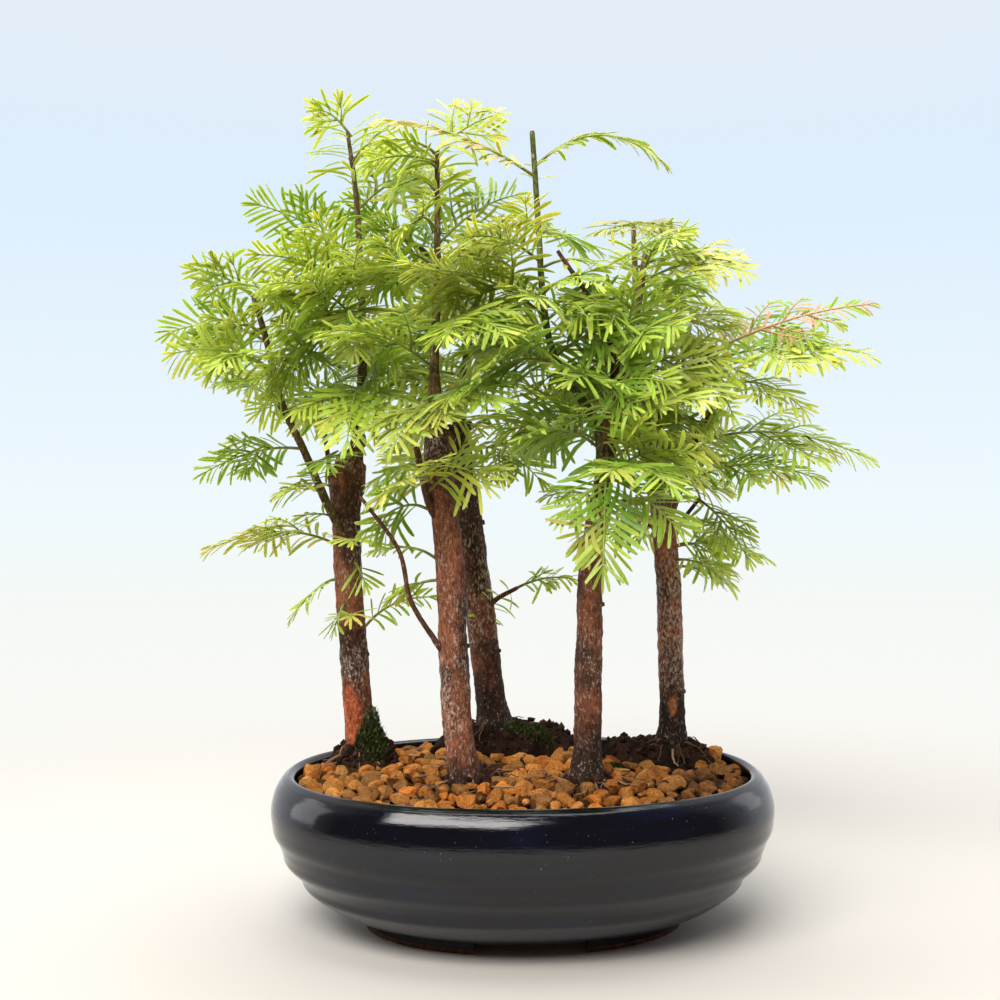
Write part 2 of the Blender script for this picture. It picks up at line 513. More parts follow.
# Sprays: the stem that carries it, its height there, heading in degrees from +X towards +Y, reach,
# lift in degrees, how far its middle arches up, roll of its flat side, and how many side shoots.
# A height of TOP puts it on the stem's upper end.
TOP = 999.0
SPRAYS = {
    1: (
        ("trunk", TOP, -163, 28, 38, 2, 60, 2),
        ("trunk", 258, 16, 44, 33, 3, 50, 3),
        ("trunk", 239, -160, 50, 28, 3, 70, 1),
        ("trunk", 229, -140, 52, 9, 3, 50, 2),
        ("left", TOP, -162, 38, 38, 3, 50, 3),
        ("left", 207, 165, 44, 8, 4, 60, 2),
        ("left", 196, -150, 44, 8, 4, 75, 1),
        ("trunk", 208, -136, 66, -20, 8, 55, 3),
        ("left", 168, 172, 44, 2, 4, 28, 2),
        ("trunk", 131, -158, 58, 8, 6, 22, 2),
        ("trunk", 192, -92, 60, -24, 6, 0, 3),
        ("trunk", 221, -103, 50, -20, 5, 0, 2),
        ("trunk", 215, -122, 62, 8, 6, 28, 2),
        ("trunk", 236, 110, 60, 10, 5, 20, 2),
        ("trunk", 200, 70, 60, 2, 6, -25, 3),
    ),
    2: (
        ("trunk", TOP, 12, 38, 42, 2, 60, 3),
        ("trunk", 240, 31, 48, 34, 3, 65, 1),
        ("trunk", 232, 158, 38, 22, 2, 40, 3),
        ("trunk", 154, -128, 42, -2, 4, 25, 2),
        ("trunk", 121, -165, 36, 2, 3, 20, 2),
        ("trunk", 184, -110, 48, -22, 4, 10, 3),
        ("trunk", 210, -62, 54, -8, 5, 25, 3),
    ),
    3: (
        ("twig", TOP, -20, 30, 22, 2, 30, 2),
        ("trunk", 168, -41, 50, -14, 6, 32, 2),
        ("trunk", 196, 95, 42, 6, 6, 25, 3),
        ("trunk", 219, 50, 50, 10, 5, 30, 3),
        ("trunk", TOP, 165, 34, 20, 2, 40, 3),
        ("trunk", 160, 125, 52, 2, 5, 25, 3),
    ),
    4: (
        ("stem_a", 263, -170, 62, 17, 4, 35, 0),
        ("stem_a", 266, -8, 52, 14, 10, 30, 0),
        ("stem_a", 233, -140, 46, 4, 4, 30, 2),
        ("stem_a", 243, 62, 42, 4, 3, 25, 3),
        ("stem_a", 214, -150, 60, 5, 5, 35, 2),
        ("trunk", 167, -100, 54, -42, 6, 0, 1),
        ("trunk", 160, -80, 56, -6, 4, 0, 2),
        ("stem_a", 197, -140, 52, -14, 5, 32, 3),
        ("trunk", 200, -87, 38, 48, 2, 0, 2),
        ("trunk", 150, 150, 38, 4, 3, 20, 2),
    ),
    5: (
        ("trunk", TOP, -92, 44, 6, 3, 0, 3),
        ("trunk", 229, -34, 48, 4, 5, 35, 3),
        ("trunk", 212, 20, 58, 10, 4, 35, 3),
        ("branch_mid", TOP, -7, 66, 17, 3, 40, 2),
        ("branch_mid", 199, -28, 64, 0, 4, 32, 3),
        ("trunk", 188, -55, 54, 4, 5, 25, 2),
        ("trunk", 193, 85, 60, 6, 5, 20, 2),
        ("branch_up", TOP, -36, 42, -12, 5, 25, 2),
        ("branch_up", 172, -8, 70, -5, 6, 30, 2),
        ("branch_up", 155, -28, 58, 2, 6, 30, 2),
        ("trunk", 148, 42, 58, 8, 5, 25, 3),
        ("lower_twig", TOP, -50, 42, -28, 4, 15, 3),
    ),
}

# Shoots: their room, bare feet and side shoots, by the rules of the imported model
SHOOT_RADIUS = 0.85
SHOOT_CLEAR = 3.2
BARE_BASE = 7.0
BARE_SIDE_BASE = 4.5
SIDE_SHOOT_PLACES = ((0.26, 1), (0.40, -1), (0.54, 1))
SIDE_SHOOT_ANGLE = 48.0
SIDE_SHOOT_SHARE = 0.72
SIDE_SHOOT_DROOP = 0.06
SIDE_SHOOT_ELBOW = (0.6, 0.5)
SHORT_SHOOT = 30.0
CURVE_STEPS = 14
STEEPEST_LEAN = 0.05
# Turns tried in order, heading and lift in degrees, until a shoot stands clear of what is there
TURNS = (
    (0, 0), (7, 0), (-7, 0), (0, 7), (0, -7), (12, 6), (-12, 6), (12, -6), (-12, -6),
    (20, 0), (-20, 0), (0, 15), (0, -15), (28, 8), (-28, 8), (28, -8), (-28, -8), (38, 0), (-38, 0),
)

# Needles: flat and blunt, in opposite pairs, longest near the middle of their shoot
PITCH = 5.5
NEEDLE_SPAN = 2.3
NEEDLE_LENGTH = 14.0
SHORT_SHOOT_LENGTH = 0.85
# Length shares along the shoot: at its foot, then the rise and the fall towards its tip
NEEDLE_PROFILE = (0.72, 0.9, -1.15)
# Angle to the shoot at its foot, and how much less it is at its tip
NEEDLE_ANGLE = (66.0, 26.0)
NEEDLE_ROOT_INSET = 0.4
END_NEEDLE = 8.0


def turns_round(count):
    """Give evenly spaced angles round a circle."""
    return 2 * math.pi * np.arange(count) / count


def oval_point(angle, half_length, half_depth):
    """Give a point of the pot's soft oval at an angle."""
    power = 2.0 / OVAL_POWER
    x = math.copysign(abs(math.cos(angle)) ** power, math.cos(angle)) * half_length
    y = math.copysign(abs(math.sin(angle)) ** power, math.sin(angle)) * half_depth
    return x, y


def mound_height(x, y):
    """Give how far the mounds lift the soil above its flat level."""
    height = 0.0
    for middle_x, middle_y, half_x, half_y, rise in MOUNDS:
        reach = ((x - middle_x) / half_x) ** 2 + ((y - middle_y) / half_y) ** 2
        if reach < 1.0:
            height = max(height, rise * math.sqrt(1.0 - reach ** 2))
    return height


def gravel_level(x, y):
    """Give the height of the joints between pebbles, which rises to the middle of the pot."""
    reach = (x / GROUND_HALF[0]) ** 2 + (y / GROUND_HALF[1]) ** 2
    return GRAVEL_EDGE + GRAVEL_CROWN * max(0.0, 1.0 - reach)


def unit(vector):
    """Give a vector's direction with a length of one."""
    return vector / np.linalg.norm(vector)


def oval_circle(sides):
    """Give points round an oval of half length and half depth 1."""
    return np.array([oval_point(angle, 1.0, 1.0) for angle in turns_round(sides)])


def aimed(heading, lift):
    """Give the direction of a heading and a lift, both in degrees."""
    turn, rise = math.radians(heading), math.radians(lift)
    return np.array([math.cos(turn) * math.cos(rise), math.sin(turn) * math.cos(rise), math.sin(rise)])


def stem_points(stem):
    """Give a stem's points and radii as arrays."""
    table = np.array(stem, dtype=float)
    return table[:, :3], table[:, 3]


def tangents(points):
    """Give the direction of a line at each of its points."""
    steps = np.diff(points, axis=0)
    steps /= np.linalg.norm(steps, axis=1)[:, None]
    along = np.vstack([steps[:1], steps[:-1] + steps[1:], steps[-1:]])
    return along / np.linalg.norm(along, axis=1)[:, None]


def line_gaps(start_a, end_a, start_b, end_b):
    """Give the least distance between every line piece of one set and every one of another."""
    run_a = (end_a - start_a)[:, None, :]
    run_b = (end_b - start_b)[None, :, :]
    between = start_a[:, None, :] - start_b[None, :, :]
    aa = np.sum(run_a * run_a, axis=2)
    bb = np.sum(run_b * run_b, axis=2)
    ab = np.sum(run_a * run_b, axis=2)
    ar = np.sum(run_a * between, axis=2)
    br = np.sum(run_b * between, axis=2)
    spread = np.maximum(aa * bb - ab * ab, TINY)
    share_a = np.clip((ab * br - ar * bb) / spread, 0.0, 1.0)
    share_b = np.clip((ab * share_a + br) / bb, 0.0, 1.0)
    share_a = np.clip((ab * share_b - ar) / aa, 0.0, 1.0)
    nearest = between + run_a * share_a[:, :, None] - run_b * share_b[:, :, None]
    return np.linalg.norm(nearest, axis=2)


class Taken:
    """The room that stems and shoots already fill, as thick line pieces."""

    def __init__(self):
        self.starts = np.empty((0, 3))
        self.ends = np.empty((0, 3))
        self.radii = np.empty(0)

    def add(self, points, radii):
        """Take up the room along a line."""
        self.starts = np.vstack([self.starts, points[:-1]])
        self.ends = np.vstack([self.ends, points[1:]])
        self.radii = np.append(self.radii, np.broadcast_to(radii, len(points) - 1))

    def room(self, points):
        """Give the least free distance round a line."""
        gaps = line_gaps(points[:-1], points[1:], self.starts, self.ends)
        return float(np.min(gaps - self.radii[None, :]))


class Shoot:
    """A green shoot: its curve, with its flat side's direction at each point."""

    def __init__(self, start, bend, tip, flat_up):
        share = np.linspace(0.0, 1.0, CURVE_STEPS)[:, None]
        self.points = start * (1 - share) ** 2 + bend * 2 * share * (1 - share) + tip * share ** 2
        self.along = tangents(self.points)
        self.side = np.cross(flat_up, self.along)
        self.side /= np.linalg.norm(self.side, axis=1)[:, None]
        steps = np.linalg.norm(np.diff(self.points, axis=0), axis=1)
        self.reach = np.concatenate([[0.0], np.cumsum(steps)])
        self.length = float(self.reach[-1])
        self.branches = []

    def whole_spray(self):
        """Give this shoot and its side shoots."""
        return [self] + [branch for _, branch in self.branches]

    def at(self, reach):
        """Give the point, direction, side and up of the shoot at a distance along it."""
        point, along, side = (
            np.array([np.interp(reach, self.reach, rows[:, axis]) for axis in range(3)])
            for rows in (self.points, self.along, self.side)
        )
        along = unit(along)
        side = unit(side - along * np.dot(side, along))
        return point, along, side, np.cross(along, side)


def needle_places(length, bare):
    """Give the distances along a shoot at which its pairs of needles start."""
    count = max(1, int((length - bare - NEEDLE_SPAN) / PITCH) + 1)
    return [bare + PITCH * step for step in range(count)]


def stem_place(stem, height):
    """Give the point, direction and radius of a stem at a height, and whether it is its end."""
    points, radii = stem_points(stem)
    if height >= points[-1, 2]:
        return points[-1], tangents(points)[-1], radii[-1], True
    step = int(np.searchsorted(points[:, 2], height)) - 1
    run = points[step + 1] - points[step]
    share = (height - points[step, 2]) / run[2]
    radius = radii[step] + share * (radii[step + 1] - radii[step])
    return points[step] + share * run, unit(run), radius, False


def side_shoot(main, reach, share, hand):
    """Give a side shoot that leaves the main one at a distance along it, on its left or right."""
    point, along, side, up = main.at(reach + NEEDLE_SPAN / 2)
    length = share * (main.length - reach)
    spread = math.radians(SIDE_SHOOT_ANGLE)
    away = along * math.cos(spread) + side * hand * math.sin(spread)
    end = point + away * length - np.array([0.0, 0.0, SIDE_SHOOT_DROOP * length])
    lean, run = SIDE_SHOOT_ELBOW
    elbow = point + unit(side * hand + along * lean) * length * run
    return Shoot(point + side * hand * SHOOT_RADIUS * NEEDLE_ROOT_INSET, elbow, end, up)


def grow_shoot(stem, height, heading, reach, lift, arch, roll, side_count):
    """Give a spray's main shoot with its side shoots, standing just off its stem."""
    root, stem_along, stem_radius, at_end = stem_place(stem, height)
    aim = aimed(heading, lift)
    across = aimed(heading, 0.0)[[1, 0, 2]] * (-1.0, 1.0, 1.0)
    tip = root + aim * (reach - END_NEEDLE)
    bend = (root + tip) / 2 + np.array([0.0, 0.0, 2.0 * arch])
    first = unit(bend - root)
    slope = float(np.dot(first, stem_along))
    lean = math.sqrt(max(1.0 - slope * slope, STEEPEST_LEAN))
    if at_end:
        start = root + stem_along * (GAP + SHOOT_RADIUS * lean)
        bend = bend + (start - root)
    else:
        start = root + first * (stem_radius + GAP + SHOOT_RADIUS * abs(slope)) / lean
    angle = math.radians(roll)
    flat_up = np.cross(aim, across) * math.cos(angle) - across * math.sin(angle)
    main = Shoot(start, bend, tip, flat_up)
    places = needle_places(main.length, BARE_BASE)
    for share, hand in SIDE_SHOOT_PLACES[:side_count]:
        place = min(places, key=lambda found: abs(found - share * main.length))
        main.branches.append((hand, side_shoot(main, place, SIDE_SHOOT_SHARE, hand)))
    return main


def shoot_room(main, taken):
    """Give the least free distance round a whole spray's shoots, past the first few millimetres."""
    lines = [main.points[main.reach > BARE_BASE]] + [branch.points for _, branch in main.branches]
    return min(taken.room(points) for points in lines)


def best_spray(taken, clear, fits, stem, height, heading, reach, lift, *shape):
    """Turn a spray aside until it fits and stands clear, and give its room and its main shoot."""
    best = None
    for turn, tilt in TURNS:
        main = grow_shoot(stem, height, heading + turn, reach, lift + tilt, *shape)
        if not fits(main):
            continue
        room = shoot_room(main, taken)
        if best is None or room > best[0]:
            best = (room, main)
        if room > clear:
            break
    return best


def take_spray(taken, main):
    """Take up the room of a spray's shoots."""
    for shoot in main.whole_spray():
        taken.add(shoot.points, SHOOT_RADIUS)


def plan_sprays():
    """Place every spray's shoots, each turned aside until it stands clear of the others."""
    taken = wood_lines()
    planned = []
    for number, sprays in SPRAYS.items():
        for place, (stem_name, *growth) in enumerate(sprays, 1):
            stem = TREES[number][stem_name]
            _, main = best_spray(taken, SHOOT_CLEAR, lambda found: True, stem, *growth)
            take_spray(taken, main)
            planned.append(((number, place), main))
    return planned, taken


class Builder:
    """Points, tints and faces of one piece, gathered as arrays."""

    def __init__(self):
        self.points = []
        self.tints = []
        self.faces = []
        self.count = 0

    def add(self, points, faces, tint):
        """Add points with one tint or one each, and groups of faces with equal corner counts."""
        points = np.asarray(points, dtype=float).reshape(-1, 3)
        tint = np.asarray(tint, dtype=float)
        if tint.shape[-1] == 3:
            tint = np.concatenate([tint, np.zeros((*tint.shape[:-1], 1))], axis=-1)
        self.points.append(points)
        self.tints.append(np.broadcast_to(tint, (len(points), 4)))
        for group in faces:
            self.faces.append(np.asarray(group, dtype=int) + self.count)
        self.count += len(points)

    def mesh(self, name):
        """Make the gathered mesh, in metres."""
        points = np.vstack(self.points) * MM
        corners = np.concatenate([group.reshape(-1) for group in self.faces])
        sizes = np.concatenate([np.full(len(group), group.shape[1]) for group in self.faces])
        starts = np.concatenate([[0], np.cumsum(sizes)[:-1]])
        mesh = bpy.data.meshes.new(name)
        mesh.vertices.add(len(points))
        mesh.vertices.foreach_set("co", points.astype(np.float32).reshape(-1))
        mesh.loops.add(len(corners))
        mesh.loops.foreach_set("vertex_index", corners.astype(np.int32))
        mesh.polygons.add(len(sizes))
        mesh.polygons.foreach_set("loop_start", starts.astype(np.int32))
        mesh.update(calc_edges=True)
        tint = mesh.color_attributes.new("tint", "FLOAT_COLOR", "POINT")
        colours = np.clip(np.vstack(self.tints), 0.0, 1.0).astype(np.float32)
        tint.data.foreach_set("color", colours.reshape(-1))
        return mesh

    def make(self, name, material, crease=60.0):
        """Make the piece, smooth but for edges sharper than the crease, and let it ride on the root."""
        mesh = self.mesh(name)
        turn_outwards(mesh)
        mesh.shade_smooth()
        mesh.set_sharp_from_angle(angle=math.radians(crease))
        mesh.materials.append(material)
        return place_piece(name, mesh)


def turn_outwards(mesh):
    """Turn a mesh's faces so that they all look outwards."""
    work = bmesh.new()
    work.from_mesh(mesh)
    bmesh.ops.recalc_face_normals(work, faces=work.faces)
    work.to_mesh(mesh)
    work.free()


def add_object(name, data):
    """Put some data in the scene as an object."""
    thing = bpy.data.objects.new(name, data)
    bpy.context.scene.collection.objects.link(thing)
    return thing


def place_piece(name, mesh):
    """Put a mesh in the scene as a piece that rides on the root and takes a slot's finish."""
    thing = add_object(name, mesh)
    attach(thing, "root")
    return thing


def ring_quads(rings, sides):
    """Give the quads between closed rings of points."""
    level = np.arange(rings - 1)[:, None] * sides
    step = np.arange(sides)[None, :]
    following = (step + 1) % sides
    quads = np.stack(
        [level + step, level + following, level + sides + following, level + sides + step], axis=-1
    )
    return quads.reshape(-1, 4)


def frames(points):
    """Give directions, sides and ups along a line, turned as little as can be."""
    along = tangents(points)
    start = np.cross((0.31, 0.95, 0.0), along[0])
    side = unit(start)
    sides = []
    for direction in along:
        side = unit(side - direction * np.dot(side, direction))
        sides.append(side)
    sides = np.array(sides)
    return along, sides, np.cross(along, sides)


def smooth_line(table, spacing):
    """Give points on a smooth curve through a table of rows, about evenly spaced."""
    rows = np.array(table, dtype=float)
    rows = np.vstack([2 * rows[0] - rows[1], rows, 2 * rows[-1] - rows[-2]])
    found = []
    for step in range(1, len(rows) - 2):
        before, start, end, after = rows[step - 1:step + 3]
        count = max(2, int(round(np.linalg.norm((end - start)[:3]) / spacing)))
        share = (np.arange(count) / count)[:, None]
        bend = (end - before) / 2
        leave = (after - start) / 2
        cubed = share ** 3
        squared = share ** 2
        found.append(
            start * (2 * cubed - 3 * squared + 1) + bend * (cubed - 2 * squared + share)
            + end * (3 * squared - 2 * cubed) + leave * (cubed - squared)
        )
    found.append(rows[-2:-1])
    return np.vstack(found)


def ring_round(line, sides):
    """Give the rings of directions that stand round a line."""
    _, side, up = frames(line)
    turns = turns_round(sides)
    return side[:, None] * np.cos(turns)[None, :, None] + up[:, None] * np.sin(turns)[None, :, None]


def add_tube(builder, points, radii, sides, tint):
    """Add a closed round tube along a line, with one radius for each point."""
    add_shell(builder, points[:, None] + ring_round(points, sides) * radii[:, None, None], tint)


def add_shell(builder, shell, tint):
    """Add rings of points as a closed skin with a fan at each end."""
    rings, sides, _ = shell.shape
    first = shell[0].mean(axis=0)
    last = shell[-1].mean(axis=0)
    step = np.arange(sides)
    following = (step + 1) % sides
    total = rings * sides
    low = np.stack([np.full(sides, total), following, step], axis=-1)
    high = np.stack([np.full(sides, total + 1), total - sides + step, total - sides + following], axis=-1)
    points = np.vstack([shell.reshape(-1, 3), first, last])
    tint = np.asarray(tint, dtype=float)
    if tint.ndim == 3:
        ends = (tint[0].mean(axis=0), tint[-1].mean(axis=0))
        tint = np.vstack([tint.reshape(-1, tint.shape[-1]), *ends])
    builder.add(points, [ring_quads(rings, sides), low, high], tint)


def ball_template(steps):
    """Give the points and faces of a ball of small triangles."""
    work = bmesh.new()
    bmesh.ops.create_icosphere(work, subdivisions=steps, radius=1.0)
    points = np.array([vertex.co for vertex in work.verts])
    faces = np.array([[vertex.index for vertex in face.verts] for face in work.faces])
    work.free()
    return points, faces


def fractal(point, scale, stretch=1.0):
    """Give layered noise at a point in millimetres, with its features drawn out upwards."""
    x, y, z = point
    place = Vector((x * scale, y * scale, z * scale / stretch))
    return noise.fractal(place, 0.8, 2.1, 4)


# Materials
def feed(tree, node, inputs):
    """Feed a node's inputs with plain values or with other nodes' sockets."""
    for place, value in inputs.items():
        if isinstance(value, bpy.types.NodeSocket):
            tree.links.new(value, node.inputs[place])
        else:
            node.inputs[place].default_value = value


def add_node(tree, kind, inputs, **settings):
    """Add a node of a kind, set it up and feed its inputs."""
    node = tree.nodes.new("ShaderNode" + kind)
    for name, value in settings.items():
        setattr(node, name, value)
    feed(tree, node, inputs)
    return node


def node_material(name, roughness, specular):
    """Start a Principled material and give it with its node tree and shader."""
    material = bpy.data.materials.new(name)
    material.use_nodes = True
    shader = material.node_tree.nodes["Principled BSDF"]
    feed(material.node_tree, shader, {"Roughness": roughness, "Specular IOR Level": specular})
    return material, material.node_tree, shader


def tint_of(tree):
    """Give the sockets of the piece's own tint."""
    return add_node(tree, "VertexColor", {}, layer_name="tint").outputs


def own_place(tree):
    """Give the socket of the object's own coordinates."""
    return add_node(tree, "TexCoord", {}).outputs["Object"]


def noise_factor(tree, scale, detail=4.0, roughness=0.6, stretch=(1.0, 1.0, 1.0)):
    """Give a socket of noise over the object's own coordinates."""
    place = add_node(tree, "Mapping", {"Vector": own_place(tree), "Scale": stretch}).outputs["Vector"]
    inputs = {"Vector": place, "Scale": scale, "Detail": detail, "Roughness": roughness}
    return add_node(tree, "TexNoise", inputs).outputs["Fac"]


def ramp(tree, factor, stops):
    """Give a colour socket that a factor drives through a list of places and colours."""
    node = add_node(tree, "ValToRGB", {"Fac": factor})
    band = node.color_ramp
    while len(band.elements) < len(stops):
        band.elements.new(0.5)
    for element, (place, colour) in zip(band.elements, stops):
        element.position = place
        element.color = (*colour, 1.0)
    return node.outputs["Color"]


def mix_colour(tree, first, second, factor, blend="MIX"):
    """Give a colour socket mixed from two sockets or colours."""
    first, second = ((*value, 1.0) if isinstance(value, tuple) else value for value in (first, second))
    inputs = {0: factor, 6: first, 7: second}
    return add_node(tree, "Mix", inputs, data_type="RGBA", blend_type=blend).outputs[2]


def shaded(tree, colour, shade, amount=1.0):
    """Give a colour's socket multiplied by a shade."""
    return mix_colour(tree, colour, shade, amount, "MULTIPLY")


def add_bump(tree, shader, height, strength, distance):
    """Bend the shader's normal by a height socket, with a distance in metres."""
    bump = add_node(tree, "Bump", {"Height": height, "Strength": strength, "Distance": distance})
    feed(tree, shader, {"Normal": bump.outputs["Normal"]})


def stretched(tree, value, ends, **settings):
    """Give a socket's value stretched from one range to another."""
    return add_node(tree, "MapRange", {"Value": value, **ends}, **settings).outputs["Result"]


def multiply_add(tree, value, factor, added):
    """Give a socket's value times a factor, plus another socket's value."""
    return add_node(tree, "Math", {0: value, 1: factor, 2: added}, operation="MULTIPLY_ADD").outputs["Value"]


def grain_material(name, finish, grain, stops, bump=None, tinted=True):
    """Give a material whose noise shades the piece's tint, or colours it, and lifts its surface."""
    material, tree, shader = node_material(name, *finish)
    height = noise_factor(tree, *grain)
    colour = ramp(tree, height, stops)
    if tinted:
        colour = shaded(tree, tint_of(tree)["Color"], colour)
    feed(tree, shader, {"Base Color": colour})
    if bump:
        add_bump(tree, shader, height, *bump)
    return material


def leaf_material(name):
    """Thin living needles: their tint, mottled along the blade, lit through by the light."""
    material, tree, shader = node_material(name, 0.42, 0.35)
    mottle = noise_factor(tree, 900.0, 3.0)
    shade = ramp(tree, mottle, ((0.3, (0.78, 0.80, 0.72)), (0.7, WHITE)))
    feed(tree, shader, {
        "Base Color": shaded(tree, tint_of(tree)["Color"], shade), "Subsurface Weight": LEAF_GLOW,
        "Subsurface Radius": (1.0, 1.0, 0.35), "Subsurface Scale": MM,
        "Roughness": stretched(tree, mottle, {"To Min": 0.34, "To Max": 0.5}),
    })
    return material


def bark_material():
    """Scaly redwood bark: fine fibres over the piece's tint, with grey scales and dark fissures."""
    material, tree, shader = node_material("redwood_bark_look", 0.78, 0.25)
    tint = tint_of(tree)
    scale = noise_factor(tree, 1100.0, 8.0, 0.75, (1.0, 1.0, 0.55))
    fibre = noise_factor(tree, 1500.0, 4.0, 0.6, (1.0, 1.0, 0.35))
    lines = ramp(tree, fibre, ((0.34, (0.45, 0.42, 0.40)), (0.52, WHITE), (0.72, (1.4, 1.35, 1.3))))
    amount = multiply_add(tree, tint["Alpha"], BARK_SCALE_REACH, scale)
    mask = ramp(tree, amount, ((0.55, (0.0, 0.0, 0.0)), (0.66, (0.85, 0.85, 0.85))))
    plates = shaded(tree, BARK_GREY, lines, 0.8)
    colour = mix_colour(tree, shaded(tree, tint["Color"], lines), plates, mask)
    cracks = ramp(tree, noise_factor(tree, CRACK_SCALE, 5.0, 0.6, CRACK_STRETCH), CRACK_STOPS)
    feed(tree, shader, {
        "Base Color": shaded(tree, colour, mix_colour(tree, WHITE, cracks, tint["Alpha"])),
        "Roughness": stretched(tree, scale, {"To Min": 0.6, "To Max": 0.95}),
    })
    add_bump(tree, shader, scale, 0.8, 0.0006)
    return material


def clay_material():
    """Baked clay pebbles: the tint of each, with dark pores and paler dust."""
    material, tree, shader = node_material("clay_gravel_look", 0.9, 0.2)
    patch = noise_factor(tree, 260.0, 3.0, 0.6)
    grain = noise_factor(tree, 900.0, 6.0, 0.7)
    pores = add_node(tree, "TexVoronoi", {"Vector": own_place(tree), "Scale": 1000.0}).outputs["Distance"]
    colour = tint_of(tree)["Color"]
    for factor, stops in ((patch, CLAY_WARMTH), (grain, CLAY_GRAIN), (pores, CLAY_PORES)):
        colour = shaded(tree, colour, ramp(tree, factor, stops))
    feed(tree, shader, {"Base Color": colour})
    add_bump(tree, shader, grain, 0.9, 0.0007)
    return material


def earth_material(name):
    """Dark crumbly soil over the piece's tint."""
    stops = ((0.35, (0.35, 0.33, 0.30)), (0.55, WHITE), (0.75, (2.2, 1.9, 1.6)))
    return grain_material(name, (0.95, 0.15), (800.0, 8.0, 0.75), stops, (1.0, 0.001))


def fibre_material(name, roughness):
    """Plain plant fibre with its tint and soft streaks."""
    stops = ((0.3, (0.65, 0.65, 0.65)), (0.7, (1.1, 1.1, 1.1)))
    return grain_material(name, (roughness, 0.3), (700.0, 4.0), stops, (0.4, 0.0003))


def glaze_material():
    """Navy-black glaze: black broken by blue, duller low on the body, with a few pale specks."""
    material, tree, shader = node_material("navy_glaze_look", 0.14, 0.5)
    deep = ramp(tree, noise_factor(tree, 30.0, 5.0, 0.6, (1.0, 1.0, 3.2)), GLAZE_STOPS)
    dots = ramp(tree, noise_factor(tree, 1500.0, 2.0), GLAZE_SPECKS)
    height = add_node(tree, "SeparateXYZ", {"Vector": own_place(tree)}).outputs["Z"]
    low = stretched(tree, height, {"From Min": GLAZE_DULL_TOP * MM, "From Max": GLAZE_DULL_FOOT * MM})
    ends = {"To Min": GLAZE_SMEAR[0], "To Max": GLAZE_SMEAR[1]}
    smear = stretched(tree, noise_factor(tree, 70.0, 5.0), ends)
    feed(tree, shader, {
        "Base Color": mix_colour(tree, deep, (0.22, 0.22, 0.23), dots),
        "Roughness": multiply_add(tree, low, GLAZE_DULL, smear),
    })
    add_bump(tree, shader, noise_factor(tree, 90.0, 6.0, 0.62, (1.0, 1.0, 7.0)), 0.16, 0.0007)
    return material


def foot_material():
    """Bare stoneware of the foot: rust-brown clay with darker flecks."""
    stops = ((0.3, (0.030, 0.014, 0.009)), (0.55, (0.10, 0.038, 0.018)), (0.8, (0.19, 0.075, 0.032)))
    return grain_material("foot_clay_look", (0.85, 0.3), (500.0, 6.0), stops, (0.5, 0.0003), False)


def mesh_material():
    """Black woven plastic of the drain meshes."""
    stops = ((0.3, (0.008, 0.008, 0.009)), (0.7, (0.022, 0.022, 0.024)))
    return grain_material("black_mesh_look", (0.6, 0.4), (900.0, 3.0), stops, None, False)


# Pot
def build_pot(glaze, clay):
    """Make the pot smooth along the same profile, with its foot gaps and drain holes cut."""
    outside = smooth_line(BODY_RINGS, POT_RING_STEP)
    top = smooth_line((BODY_RINGS[-1], *LIP_RINGS, LIP_TURN, WALL_RINGS[0]), LIP_RING_STEP)
    inside = smooth_line(WALL_RINGS, POT_RING_STEP)
    foot = (RECESS_RING, *FOOT_RINGS[:2], GLAZE_RING, FOOT_RINGS[2])
    rows = np.vstack([foot, outside[:-1], top[:-1], inside])
    circle = oval_circle(POT_SIDES)
    shell = np.empty((len(rows), POT_SIDES, 3))
    uneven = np.array([[throwing_mark(row[0], angle) for angle in turns_round(POT_SIDES)] for row in rows])
    uneven[:len(foot)] = 0.0
    uneven[-len(inside):] = 0.0
    shell[:, :, 0] = (rows[:, 1:2] - uneven) * circle[None, :, 0]
    shell[:, :, 1] = (rows[:, 2:3] - uneven) * circle[None, :, 1]
    shell[:, :, 2] = rows[:, 0:1]
    builder = Builder()
    add_shell(builder, shell, WHITE)
    mesh = builder.mesh("pot_glazed")
    pot = add_object("pot_glazed", mesh)
    cutter = add_object("pot_cutters", pot_cutters())
    cut = pot.modifiers.new("Cut", "BOOLEAN")
    cut.operation = "DIFFERENCE"
    cut.solver = "EXACT"
    cut.object = cutter
    graph = bpy.context.evaluated_depsgraph_get()
    result = bpy.data.meshes.new_from_object(pot.evaluated_get(graph))
    bpy.data.objects.remove(pot)
    bpy.data.objects.remove(cutter)
    result.name = "pot_glazed"
    result.materials.clear()
    result.materials.append(glaze)
    result.materials.append(clay)
    bare = []
    for face in result.polygons:
        x, y, z = face.center / MM
        inner = math.hypot(x / FOOT_RINGS[1][1], y / FOOT_RINGS[1][2]) < 0.94 and z < FOOT_HEIGHT + 0.5
        bare.append(int(z < GLAZE_LINE or inner))
    result.polygons.foreach_set("material_index", bare)
    result.shade_smooth()
    result.set_sharp_from_angle(angle=math.radians(50.0))
    result.update()
    piece = place_piece("pot_glazed", result)
    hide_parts("pot")


def throwing_mark(height, angle):
    """Give how deep the potter's fingers left the wall at a place, in soft uneven grooves."""
    depth = 0.0
    for middle, width, groove in THROWING_GROOVES:
        wander = 0.9 * math.sin(angle * 2.0 + middle) + 0.5 * math.sin(angle * 5.0 + middle * 2.0)
        depth += groove * math.exp(-(((height + wander - middle) / width) ** 2))
    return depth


